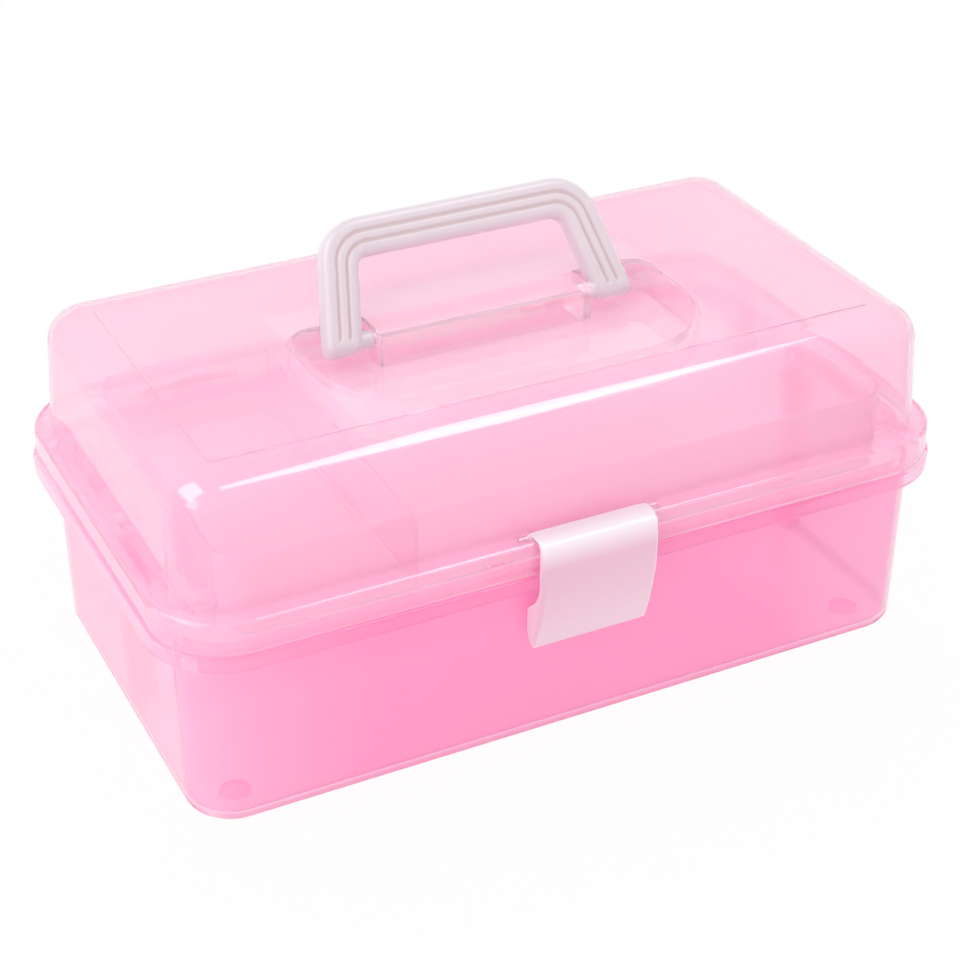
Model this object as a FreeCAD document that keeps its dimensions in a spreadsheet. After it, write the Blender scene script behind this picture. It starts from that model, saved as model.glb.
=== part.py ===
"""Portable storage case: tub with a turned-down rim, domed lid on two rear hinges, swinging carry
handle in a recess of the lid, snap latch at the front and one lift-up tray with a divider.

Axes: X along the length (positive to the right), Y from front to back, Z up.
Origin: centre of the footprint on the surface the case stands on.  All sizes in millimetres.
"""
import FreeCAD
import Part
import math
import os
import Sketcher

# ---------------------------------------------------------------------------------------------
# Driving sizes: name, value, meaning
# ---------------------------------------------------------------------------------------------
SIZE_TABLE = [
    # tub
    ("foot_proud", 0.8, "height of the tub's underside above the floor"),
    ("parting_z", 81.5, "top of the tub's rim"),
    ("tub_low_x", 155.0, "half length of the tub at its underside"),
    ("tub_low_y", 85.1, "half depth of the tub at its underside"),
    ("tub_draft", 0.75, "outward slope of the tub's walls, in degrees"),
    ("tub_corner", 18.8, "plan radius of the tub's upright corners"),
    ("tub_edge", 4.7, "radius of the tub's lower outside edge"),
    ("tub_fillet", 3.0, "radius of the tub's lower inside edge"),
    ("shell", 2.2, "wall of the tub and of the lid"),
    ("tub_floor", 2.6, "floor of the tub"),
    # rim of the tub
    ("rim_x", 165.0, "half length over the rim"),
    ("rim_y", 95.1, "half depth over the rim"),
    ("rim_corner", 32.0, "plan radius of the rim"),
    ("rim_plate", 2.2, "thickness of the rim's flat"),
    ("rim_drop", 6.5, "height of the rim's turned-down edge"),
    ("rim_wall", 2.0, "thickness of the rim's turned-down edge"),
    ("rim_edge", 0.8, "radius of the rim's outside edges"),
    # lid
    ("parting_gap", 0.2, "gap between the rim and the lid's skirt"),
    ("skirt_inset_x", 1.7, "skirt stands in from the rim at the ends"),
    ("skirt_inset_y", 1.2, "skirt stands in from the rim at front and back"),
    ("skirt_wall", 2.0, "thickness of the lid's skirt"),
    ("skirt_high", 13.2, "height of the lid's skirt"),
    ("skirt_edge", 2.6, "radius of the skirt's upper outside edge"),
    ("flange_plate", 2.2, "thickness of the flat between skirt and dome"),
    ("lid_low_x", 156.4, "half length of the dome at the flange"),
    ("lid_low_y", 85.0, "half depth of the dome at the flange"),
    ("lid_draft", 3.6, "inward slope of the dome's walls, in degrees"),
    ("lid_corner", 19.4, "plan radius of the dome's corners"),
    ("lid_top_z", 142.5, "top of the lid around the raised panel"),
    ("lid_edge", 13.3, "radius of the dome's shoulder"),
    ("panel_x", 136.3, "half length of the raised top panel"),
    ("panel_y", 64.0, "half depth of the raised top panel"),
    ("panel_corner", 2.5, "plan radius of the raised top panel"),
    ("panel_rise", 0.7, "height of the raised top panel"),
    ("panel_edge", 0.35, "radius of the top panel's edges"),
    # handle recess of the lid
    ("recess_x", 77.5, "half length of the handle recess"),
    ("recess_front", -58.0, "front of the handle recess"),
    ("recess_deep", 14.2, "depth of the handle recess"),
    ("recess_front_corner", 38.0, "plan radius of the recess's front corners"),
    ("recess_back_corner", 9.0, "plan radius of the recess's back corners"),
    ("island_x", 45.6, "half length of the bridge between the handle's feet"),
    ("island_front", -4.5, "front of the bridge between the handle's feet"),
    # handle
    ("grip_lean", 33.8, "backward lean of the raised handle, in degrees"),
    ("grip_pivot_y", 2.6, "depth position of the handle's axis"),
    ("grip_pivot_z", 138.2, "height of the handle's axis"),
    ("grip_reach", 46.4, "handle axis to the far side of its bar"),
    ("grip_foot_x", 65.8, "half width over the handle's feet, at the axis"),
    ("grip_taper", 0.21, "inward slope of the legs per unit of height"),
    ("grip_wide", 15.4, "width of the bar and legs"),
    ("grip_thick", 9.7, "thickness of the bar and legs"),
    ("grip_corner_out", 18.0, "outer radius of the handle's corners"),
    ("grip_corner_in", 5.0, "inner radius of the handle's corners"),
    ("grip_edge", 2.2, "radius of the handle's long edges"),
    ("grip_foot_edge", 3.0, "radius of the feet's lower edges"),
    ("grip_groove_one", 6.9, "outside to the first groove's middle"),
    ("grip_groove_two", 11.2, "outside to the second groove's middle"),
    ("grip_groove_round", 0.75, "radius of the grooves' section"),
    ("grip_groove_end", 5.0, "axis to the grooves' lower ends"),
    ("grip_stop_gap", 0.2, "raised handle to the recess edge it leans on"),
    ("grip_side_gap", 0.4, "handle boss to the bridge"),
    ("grip_boss_round", 3.4, "radius of the boss on each foot"),
    ("grip_pin_sunk", 4.0, "depth of the handle pins in the legs"),
    ("grip_pin_round", 2.0, "radius of the handle pins"),
    # hinges at the back
    ("hinge_y", 99.0, "depth position of the lid's axis"),
    ("hinge_rise", 0.5, "lid's axis above the parting plane"),
    ("hinge_x", 88.0, "middle of each hinge"),
    ("hinge_round", 3.5, "radius of the hinge knuckles"),
    ("hinge_mid", 16.0, "width of the tub's knuckle"),
    ("hinge_side", 11.0, "width of each of the lid's knuckles"),
    ("hinge_slit", 0.4, "side gap between knuckles"),
    ("hinge_pin_round", 1.5, "radius of the hinge pins"),
    # latch
    ("latch_x", 24.5, "half width of the latch"),
    ("latch_wall", 2.0, "thickness of the latch's front and cheeks"),
    ("latch_axis_y", -87.6, "depth position of the latch's axis"),
    ("latch_axis_z", 93.6, "height of the latch's axis"),
    ("latch_barrel", 1.75, "radius of the latch's barrel"),
    ("latch_pin_round", 0.95, "radius of the latch pin"),
    ("latch_roof_z", 96.9, "top of the latch's roof"),
    ("latch_face_y", -99.4, "foremost line of the latch"),
    ("latch_low_z", 46.0, "lower end of the latch's front"),
    ("latch_low_y", -91.6, "front of the latch's lower end"),
    ("latch_gap", 0.5, "latch to the rim, the skirt and the slot beside it"),
    ("latch_roof_fall", 1.0, "fall of the roof towards the dome"),
    ("latch_heel_drop", 1.2, "heel of the cheeks below the lower end of the front"),
    ("latch_heel_in", 1.6, "rounding of the heel"),
    ("latch_heel_rise", 2.5, "height of the heel's rounding"),
    ("latch_neck_low", 13.0, "start of the cheeks' slope to the rim, below the rim"),
    ("latch_neck_mid", 5.0, "middle of the cheeks' slope, below the rim"),
    ("latch_neck_in", 1.2, "middle of the cheeks' slope, behind the rim's front"),
    ("latch_neck_top", 1.0, "end of the cheeks' slope, below the rim"),
    ("latch_brow", 2.0, "height of the slope over the skirt's rounded edge"),
    ("latch_brow_in", 0.9, "depth of the slope over the skirt's rounded edge"),
    ("latch_slot_room", 1.8, "room of the flange's slot in front of the barrel"),
    ("latch_boss", 5.0, "width of the lid's bosses for the latch pin"),
    ("rim_slot_y", -88.4, "back of the rim's slot behind the latch"),
    # notch beside the latch
    ("notch_left", -45.6, "left side of the notch in the skirt"),
    ("notch_right", -34.6, "right side of the notch in the skirt"),
    ("notch_low", 84.6, "lower side of the notch"),
    ("notch_deep", 0.9, "depth of the notch"),
    ("notch_slot_wide", 5.4, "width of the slot in the notch"),
    ("notch_slot_high", 1.6, "height of the slot in the notch"),
    ("notch_slot_z", 89.8, "height of the slot in the notch above the floor"),
    # tray
    ("tray_x", 139.5, "half length of the tray"),
    ("tray_front", -80.0, "front of the tray"),
    ("tray_back", 67.0, "back of the tray"),
    ("tray_low_z", 78.0, "underside of the tray"),
    ("tray_top_z", 111.0, "top of the tray"),
    ("tray_corner", 13.0, "plan radius of the tray"),
    ("tray_wall", 1.6, "wall and floor of the tray"),
    ("tray_edge", 2.5, "radius of the tray's lower edges"),
    ("divider_x", -65.5, "position of the divider along the tray"),
    ("divider_thick", 1.6, "thickness of the divider"),
    ("divider_high", 29.0, "height of the divider"),
    ("divider_gap", 0.15, "divider to the ribs that hold it"),
    ("divider_end_gap", 0.3, "divider to the walls at its ends"),
    ("guide_high", 2.4, "height of the ribs that hold the divider"),
    ("guide_thick", 1.2, "thickness of the ribs that hold the divider"),
    # arms that carry the tray
    ("arm_pivot_y", -4.5, "depth position of the arms' axis on the tub"),
    ("arm_pivot_z", 90.0, "height of the arms' axis on the tub"),
    ("arm_long", 62.5, "arm axis to tray axis"),
    ("arm_half", 5.0, "half width of the arms"),
    ("arm_x", 147.4, "inner face of the arms"),
    ("arm_thick", 2.2, "thickness of the arms"),
    ("arm_side_gap", 0.3, "arms to the posts and the tray bosses"),
    ("post_thick", 2.7, "thickness of the posts on the tub"),
    ("post_half", 5.5, "half width of the posts on the tub"),
    ("post_web", 2.0, "thickness of each post's web to the end wall"),
    ("pivot_boss_round", 4.2, "radius of the tray's bosses"),
    ("pivot_pin_round", 1.5, "radius of the arm and tray pins"),
    ("pivot_head_round", 2.7, "radius of the pins' heads"),
    ("pivot_head_thick", 1.1, "thickness of the tray pins' heads"),
    ("arm_head_reach", 3.8, "thickness of the arm pins' heads"),
    # feet
    ("foot_x", 136.0, "feet from the middle, lengthways"),
    ("foot_y", 67.0, "feet from the middle, front to back"),
    ("foot_round", 6.0, "radius of the feet"),
    ("foot_sunk", 1.2, "depth of the feet in the tub's floor"),
    # fits and cuts
    ("run_fit", 0.06, "radial clearance of a turning pin"),
    ("hold_fit", 0.02, "radial clearance of a held pin"),
    ("end_room", 0.3, "room at the bottom of a pin's blind hole"),
    ("over", 1.0, "run of a cut past the faces it opens"),
    ("bite", 0.5, "depth by which joined pieces of one sub-part enter each other"),
]

# Front of the latch from the roof down: distance below the roof, distance behind the foremost line
LATCH_CURVE = [(0.0, 5.4), (0.9, 2.2), (3.4, 0.8), (11.0, 0.0), (19.0, 0.1), (29.5, 1.9), (39.5, 4.6)]

doc = FreeCAD.newDocument("StorageCase")
sheet = doc.addObject("Spreadsheet::Sheet", "Sizes")
for row, (alias, value, note) in enumerate(SIZE_TABLE, start=1):
    sheet.set("A%d" % row, note)
    sheet.set("B%d" % row, repr(value))
    sheet.setAlias("B%d" % row, alias)
doc.recompute()


class Size:
    """A driving size or a formula of driving sizes: its present value and its expression."""

    def __init__(self, value, text):
        self.value = value
        self.text = text

    @staticmethod
    def of(other):
        """Return other as a Size; a plain number becomes a constant."""
        if isinstance(other, Size):
            return other
        return Size(float(other), "(%r)" % float(other))

    def joined(self, other, sign, value):
        """Return the formula self sign other, whose present value is known."""
        return Size(value, "(%s %s %s)" % (self.text, sign, Size.of(other).text))

    def __add__(self, other):
        return self.joined(other, "+", self.value + Size.of(other).value)

    def __sub__(self, other):
        return self.joined(other, "-", self.value - Size.of(other).value)

    def __mul__(self, other):
        return self.joined(other, "*", self.value * Size.of(other).value)

    def __truediv__(self, other):
        return self.joined(other, "/", self.value / Size.of(other).value)

    def __rsub__(self, other):
        return Size.of(other) - self

    def __radd__(self, other):
        return Size.of(other) + self

    def __rmul__(self, other):
        return Size.of(other) * self

    def __neg__(self):
        return Size(-self.value, "(-%s)" % self.text)


class Sizes:
    """The sheet's sizes as attributes."""


S = Sizes()
for alias, value, note in SIZE_TABLE:
    setattr(S, alias, Size(float(value), "Sizes.%s" % alias))


def sine(angle):
    """Sine of a Size that holds degrees."""
    return Size(math.sin(math.radians(angle.value)), "sin(%s * 1 deg)" % angle.text)


def cosine(angle):
    """Cosine of a Size that holds degrees."""
    return Size(math.cos(math.radians(angle.value)), "cos(%s * 1 deg)" % angle.text)


def tangent(angle):
    """Tangent of a Size that holds degrees."""
    return Size(math.tan(math.radians(angle.value)), "tan(%s * 1 deg)" % angle.text)


# ---------------------------------------------------------------------------------------------
# Sizes that follow from the driving sizes
# ---------------------------------------------------------------------------------------------
FLOOR_TOP = S.foot_proud + S.tub_floor
SKIRT_X = S.rim_x - S.skirt_inset_x
SKIRT_Y = S.rim_y - S.skirt_inset_y
SKIRT_CORNER = S.rim_corner - S.skirt_inset_x
SKIRT_LOW = S.parting_z + S.parting_gap
FLANGE_TOP = SKIRT_LOW + S.skirt_high
FLANGE_LOW = FLANGE_TOP - S.flange_plate
DOME_INSIDE = S.lid_top_z - S.shell
HINGE_Z = S.parting_z + S.hinge_rise
PANEL_TOP = S.lid_top_z + S.panel_rise
RECESS_FLOOR = PANEL_TOP - S.recess_deep
PAN_LOW = RECESS_FLOOR - S.shell
GRIP_HALF = S.grip_thick / 2
RECESS_BACK = S.grip_pivot_y + (
    GRIP_HALF + S.grip_stop_gap + (PANEL_TOP - S.grip_pivot_z) * sine(S.grip_lean)
) / cosine(S.grip_lean)
ARM_OUT = S.arm_x + S.arm_thick
POST_OUT = S.arm_x - S.arm_side_gap
TRAY_AXIS_Y = S.arm_pivot_y - S.arm_long
LID_AXIS_Y = S.hinge_y - S.arm_long
RIM_SLOT_X = S.latch_x + S.latch_gap
TRAY_FLOOR_TOP = S.tray_low_z + S.tray_wall


# ---------------------------------------------------------------------------------------------
# Sketch and feature helpers
# ---------------------------------------------------------------------------------------------
def new_body(label):
    """Return an empty body that is named after its sub-part."""
    body = doc.addObject("PartDesign::Body", label)
    body.Label = label
    return body


def new_sketch(body, name, role, offset):
    """Return a sketch on one of the body's origin planes, moved along the plane's normal."""
    plane = [item for item in body.Origin.OriginFeatures if item.Role == role][0]
    sketch = body.newObject("Sketcher::SketchObject", name)
    sketch.AttachmentSupport = [(plane, "")]
    sketch.MapMode = "FlatFace"
    sketch.setExpression("AttachmentOffset.Base.z", Size.of(offset).text)
    return sketch


def bind(sketch, kind, geometry, size):
    """Add a dimension to the sketch and tie it to a size."""
    number = sketch.addConstraint(Sketcher.Constraint(kind, *geometry, size.value))
    label = "d%d" % number
    sketch.renameConstraint(number, label)
    sketch.setExpression("Constraints." + label, size.text)


def draw_polygon(sketch, points):
    """Draw a closed polygon whose corners are each tied to two sizes."""
    corners = [(Size.of(u), Size.of(v)) for u, v in points]
    count = len(corners)
    first = sketch.GeometryCount
    for k in range(count):
        a = corners[k]
        b = corners[(k + 1) % count]
        start = FreeCAD.Vector(a[0].value, a[1].value, 0)
        end = FreeCAD.Vector(b[0].value, b[1].value, 0)
        sketch.addGeometry(Part.LineSegment(start, end), False)
    for k in range(count):
        nxt = first + (k + 1) % count
        sketch.addConstraint(Sketcher.Constraint("Coincident", first + k, 2, nxt, 1))
    for k in range(count):
        bind(sketch, "DistanceX", (-1, 1, first + k, 1), corners[k][0])
        bind(sketch, "DistanceY", (-1, 1, first + k, 1), corners[k][1])


def draw_rectangle(sketch, left, right, low, high):
    """Draw a rectangle from its four sides."""
    draw_polygon(sketch, [(left, low), (right, low), (right, high), (left, high)])


def draw_rounded(sketch, half_x, low, high, low_radius, high_radius=None):
    """Draw a rectangle about the vertical axis with rounded corners, equal in pairs."""
    half_x, low, high = Size.of(half_x), Size.of(low), Size.of(high)
    low_radius = Size.of(low_radius)
    high_radius = Size.of(high_radius) if high_radius is not None else low_radius
    w, b, t = half_x.value, low.value, high.value
    p, q = low_radius.value, high_radius.value
    first = sketch.GeometryCount

    def line(x0, y0, x1, y1):
        sketch.addGeometry(
            Part.LineSegment(FreeCAD.Vector(x0, y0, 0), FreeCAD.Vector(x1, y1, 0)), False)

    def arc(x, y, radius, start):
        circle = Part.Circle(FreeCAD.Vector(x, y, 0), FreeCAD.Vector(0, 0, 1), radius)
        sketch.addGeometry(
            Part.ArcOfCircle(circle, math.radians(start), math.radians(start + 90)), False)

    line(-w + p, b, w - p, b)
    arc(w - p, b + p, p, 270)
    line(w, b + p, w, t - q)
    arc(w - q, t - q, q, 0)
    line(w - q, t, -w + q, t)
    arc(-w + q, t - q, q, 90)
    line(-w, t - q, -w, b + p)
    arc(-w + p, b + p, p, 180)
    for k in range(8):
        sketch.addConstraint(
            Sketcher.Constraint("Tangent", first + k, 2, first + (k + 1) % 8, 1))
    sketch.addConstraint(Sketcher.Constraint("Horizontal", first))
    sketch.addConstraint(Sketcher.Constraint("Vertical", first + 2))
    sketch.addConstraint(Sketcher.Constraint("Equal", first + 1, first + 7))
    sketch.addConstraint(Sketcher.Constraint("Equal", first + 3, first + 5))
    bind(sketch, "Radius", (first + 1,), low_radius)
    bind(sketch, "Radius", (first + 3,), high_radius)
    bind(sketch, "DistanceX", (-1, 1, first + 2, 1), half_x)
    bind(sketch, "DistanceX", (-1, 1, first + 6, 1), -half_x)
    bind(sketch, "DistanceY", (-1, 1, first, 1), low)
    bind(sketch, "DistanceY", (-1, 1, first + 4, 1), high)


def draw_circle(sketch, u, v, radius):
    """Draw a circle tied to its centre and radius."""
    u, v, radius = Size.of(u), Size.of(v), Size.of(radius)
    number = sketch.addGeometry(
        Part.Circle(FreeCAD.Vector(u.value, v.value, 0), FreeCAD.Vector(0, 0, 1), radius.value),
        False)
    bind(sketch, "DistanceX", (-1, 1, number, 3), u)
    bind(sketch, "DistanceY", (-1, 1, number, 3), v)
    bind(sketch, "Radius", (number,), radius)


def draw_bent_line(sketch, points, radius):
    """Draw an open line through tied corners, each inner corner rounded to the radius."""
    corners = [(Size.of(u), Size.of(v)) for u, v in points]
    spots = [FreeCAD.Vector(u.value, v.value, 0) for u, v in corners]
    last = len(spots) - 1
    for k in range(last):
        sketch.addGeometry(Part.LineSegment(spots[k], spots[k + 1]), False)
    for k in range(last - 1):
        sketch.addConstraint(Sketcher.Constraint("Coincident", k, 2, k + 1, 1))
    for k, (u, v) in enumerate(corners):
        line, end = (k, 1) if k < last else (k - 1, 2)
        bind(sketch, "DistanceX", (-1, 1, line, end), u)
        bind(sketch, "DistanceY", (-1, 1, line, end), v)
    for k in range(last - 1):
        before = spots[k + 1] + (spots[k] - spots[k + 1]).normalize() * radius.value
        after = spots[k + 1] + (spots[k + 2] - spots[k + 1]).normalize() * radius.value
        count = sketch.GeometryCount
        sketch.fillet(k, k + 1, before, after, radius.value, True, True)
        bind(sketch, "Radius", (count,), radius)


def draw_slot(sketch, u_from, u_to, v, radius):
    """Draw a slot whose ends are half circles about two points of one level."""
    u_from, u_to, v, radius = Size.of(u_from), Size.of(u_to), Size.of(v), Size.of(radius)
    a, b, h, r = u_from.value, u_to.value, v.value, radius.value
    first = sketch.GeometryCount
    axis = FreeCAD.Vector(0, 0, 1)
    right = Part.Circle(FreeCAD.Vector(b, h, 0), axis, r)
    left = Part.Circle(FreeCAD.Vector(a, h, 0), axis, r)
    sketch.addGeometry(Part.LineSegment(FreeCAD.Vector(a, h - r, 0), FreeCAD.Vector(b, h - r, 0)), False)
    sketch.addGeometry(Part.ArcOfCircle(right, -math.pi / 2, math.pi / 2), False)
    sketch.addGeometry(Part.LineSegment(FreeCAD.Vector(b, h + r, 0), FreeCAD.Vector(a, h + r, 0)), False)
    sketch.addGeometry(Part.ArcOfCircle(left, math.pi / 2, 3 * math.pi / 2), False)
    for k in range(4):
        sketch.addConstraint(
            Sketcher.Constraint("Tangent", first + k, 2, first + (k + 1) % 4, 1))
    bind(sketch, "DistanceX", (-1, 1, first + 1, 3), u_to)
    bind(sketch, "DistanceY", (-1, 1, first + 1, 3), v)
    bind(sketch, "DistanceX", (-1, 1, first + 3, 3), u_from)
    bind(sketch, "Radius", (first + 1,), radius)
    sketch.addConstraint(Sketcher.Constraint("Horizontal", first))


def pad(body, name, role, start, end, draw):
    """Add material between two levels along the plane's normal."""
    start, end = Size.of(start), Size.of(end)
    sketch = new_sketch(body, name + "_sketch", role, start)
    draw(sketch)
    feature = body.newObject("PartDesign::Pad", name)
    feature.Profile = sketch
    feature.setExpression("Length", (end - start).text)
    doc.recompute()
    return feature


def pocket(body, name, role, start, end, draw):
    """Remove material between two levels along the plane's normal."""
    start, end = Size.of(start), Size.of(end)
    before = body.Shape.Volume
    sketch = new_sketch(body, name + "_sketch", role, end)
    draw(sketch)
    feature = body.newObject("PartDesign::Pocket", name)
    feature.Profile = sketch
    feature.setExpression("Length", (end - start).text)
    doc.recompute()
    if not body.Shape.Volume < before:
        raise RuntimeError("%s removes nothing" % name)
    return feature


def tapered(body, name, start, end, slope, draw):
    """Add an upright solid that widens from its lower end by the slope in degrees."""
    start, end = Size.of(start), Size.of(end)
    sketch = new_sketch(body, name + "_sketch", "XY_Plane", start)
    draw(sketch)
    feature = body.newObject("PartDesign::Pad", name)
    feature.Profile = sketch
    feature.setExpression("Length", (end - start).text)
    feature.setExpression("TaperAngle", Size.of(slope).text)
    doc.recompute()
    return feature


def hollow_out(body, name, start, end, slope, draw, radius, round_level):
    """Cut an upright tapered solid with one rounded end out of the body."""
    tool = new_body(name + "_core")
    core = tapered(tool, name + "_core_pad", start, end, slope, draw)
    fillet(tool, name + "_core_edge", core, radius, flat_at(round_level))
    before = body.Shape.Volume
    cut = body.newObject("PartDesign::Boolean", name)
    cut.Type = "Cut"
    cut.setObjects([tool])
    body.Tip = cut
    doc.recompute()
    if not body.Shape.Volume < before:
        raise RuntimeError("%s removes nothing" % name)
    return cut


def edges_where(feature, test):
    """Return the names of the feature's edges whose bounding box passes the test."""
    names = []
    for number, edge in enumerate(feature.Shape.Edges, start=1):
        if test(edge.BoundBox):
            names.append("Edge%d" % number)
    return names


def fillet(body, name, feature, radius, test):
    """Round the edges of the feature that pass the test."""
    names = edges_where(feature, test)
    if not names:
        raise RuntimeError("%s finds no edge" % name)
    rounded = body.newObject("PartDesign::Fillet", name)
    rounded.Base = (feature, names)
    rounded.setExpression("Radius", Size.of(radius).text)
    doc.recompute()
    return rounded


def near(value, size, room=0.01):
    """Tell whether a coordinate lies at a size."""
    return abs(value - Size.of(size).value) < room


def flat_at(size):
    """Return a test for edges that lie in one horizontal plane."""
    return lambda box: near(box.ZMin, size) and near(box.ZMax, size)


def both_ends(inner, outer):
    """Return the two spans along X, right and left, of something that both ends have."""
    return (("right", inner, outer), ("left", -outer, -inner))


# ---------------------------------------------------------------------------------------------
# Tub: tapered shell, turned-down rim, posts for the arms, middle knuckles of the hinges
# ---------------------------------------------------------------------------------------------
def make_tub():
    body = new_body("tub")
    tapered(body, "tub_outside", S.foot_proud, S.parting_z, S.tub_draft,
            lambda k: draw_rounded(k, S.tub_low_x, -S.tub_low_y, S.tub_low_y, S.tub_corner))
    fillet(body, "tub_lower_edge", body.Tip, S.tub_edge, flat_at(S.foot_proud))
    pad(body, "rim_flat", "XY_Plane", S.parting_z - S.rim_plate, S.parting_z,
        lambda k: draw_rounded(k, S.rim_x, -S.rim_y, S.rim_y, S.rim_corner))

    def rim_ring(k):
        draw_rounded(k, S.rim_x, -S.rim_y, S.rim_y, S.rim_corner)
        draw_rounded(k, S.rim_x - S.rim_wall, S.rim_wall - S.rim_y, S.rim_y - S.rim_wall,
                     S.rim_corner - S.rim_wall)

    ring = pad(body, "rim_edge_drop", "XY_Plane", S.parting_z - S.rim_drop, S.parting_z, rim_ring)
    fillet(body, "rim_rounding", ring, S.rim_edge,
           lambda box: box.ZLength < 0.01 and max(-box.YMin, box.YMax, -box.XMin, box.XMax) > (
               S.rim_y - S.rim_wall / 2).value and not near(box.ZMin, S.parting_z - S.rim_plate)
           and (near(box.XMax, S.rim_x) or near(box.XMin, -S.rim_x)
                or near(box.YMax, S.rim_y) or near(box.YMin, -S.rim_y)))
    rise = (FLOOR_TOP - S.foot_proud) * tangent(S.tub_draft)
    hollow_out(body, "tub_inside", FLOOR_TOP, S.parting_z + S.over, S.tub_draft,
               lambda k: draw_rounded(k, S.tub_low_x - S.shell + rise,
                                      S.shell - S.tub_low_y - rise,
                                      S.tub_low_y - S.shell + rise,
                                      S.tub_corner - S.shell + rise),
               S.tub_fillet, FLOOR_TOP)

    # slot in the rim behind the latch
    pocket(body, "rim_slot", "XY_Plane", S.parting_z - S.rim_drop - S.over, S.parting_z,
           lambda k: draw_rectangle(k, -RIM_SLOT_X, RIM_SLOT_X, -S.rim_y - S.over, S.rim_slot_y))

    # posts for the arms, each a plate with a web to the end wall and a round head
    post_in = POST_OUT - S.post_thick
    for side, low, high in both_ends(post_in, POST_OUT):
        pad(body, "post_" + side, "YZ_Plane", low, high,
            lambda k: draw_rectangle(k, S.arm_pivot_y - S.post_half, S.arm_pivot_y + S.post_half,
                                     FLOOR_TOP - S.bite, S.arm_pivot_z))
        pad(body, "post_head_" + side, "YZ_Plane", low, high,
            lambda k: draw_circle(k, S.arm_pivot_y, S.arm_pivot_z, S.post_half))
    for side, low, high in both_ends(post_in, S.tub_low_x - S.shell / 2):
        for edge in (-1, 1):
            middle = S.arm_pivot_y + edge * (S.post_half - S.post_web / 2)
            pad(body, "post_web_%s_%d" % (side, edge + 2), "YZ_Plane", low, high,
                lambda k, m=middle: draw_rectangle(k, m - S.post_web / 2, m + S.post_web / 2,
                                                   FLOOR_TOP - S.bite, S.parting_z - S.rim_plate))
    for side, low, high in both_ends(post_in, POST_OUT):
        pocket(body, "post_hole_" + side, "YZ_Plane", low - S.over, high + S.over,
               lambda k: draw_circle(k, S.arm_pivot_y, S.arm_pivot_z,
                                     S.pivot_pin_round + S.hold_fit))

    # middle knuckle of each hinge
    for side, low, high in both_ends(S.hinge_x - S.hinge_mid / 2, S.hinge_x + S.hinge_mid / 2):
        pad(body, "knuckle_" + side, "YZ_Plane", low, high,
            lambda k: draw_circle(k, S.hinge_y, HINGE_Z, S.hinge_round))
        pad(body, "knuckle_web_" + side, "YZ_Plane", low, high,
            lambda k: draw_rectangle(k, S.rim_y - S.rim_wall / 2, S.hinge_y,
                                     HINGE_Z - S.hinge_round, S.parting_z))
        pocket(body, "knuckle_hole_" + side, "YZ_Plane", low - S.over, high + S.over,
               lambda k: draw_circle(k, S.hinge_y, HINGE_Z, S.hinge_pin_round + S.run_fit))

    # seats of the feet
    def foot_seats(k):
        for sx in (-1, 1):
            for sy in (-1, 1):
                draw_circle(k, sx * S.foot_x, sy * S.foot_y, S.foot_round + S.hold_fit)

    seats = body.newObject("PartDesign::Pocket", "foot_seats")
    sketch = new_sketch(body, "foot_seats_sketch", "XY_Plane", S.foot_proud)
    foot_seats(sketch)
    seats.Profile = sketch
    seats.Reversed = True
    seats.setExpression("Length", S.foot_sunk.text)
    before = body.Shape.Volume
    body.Tip = seats
    doc.recompute()
    if not body.Shape.Volume < before:
        raise RuntimeError("foot_seats removes nothing")
    return body


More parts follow.
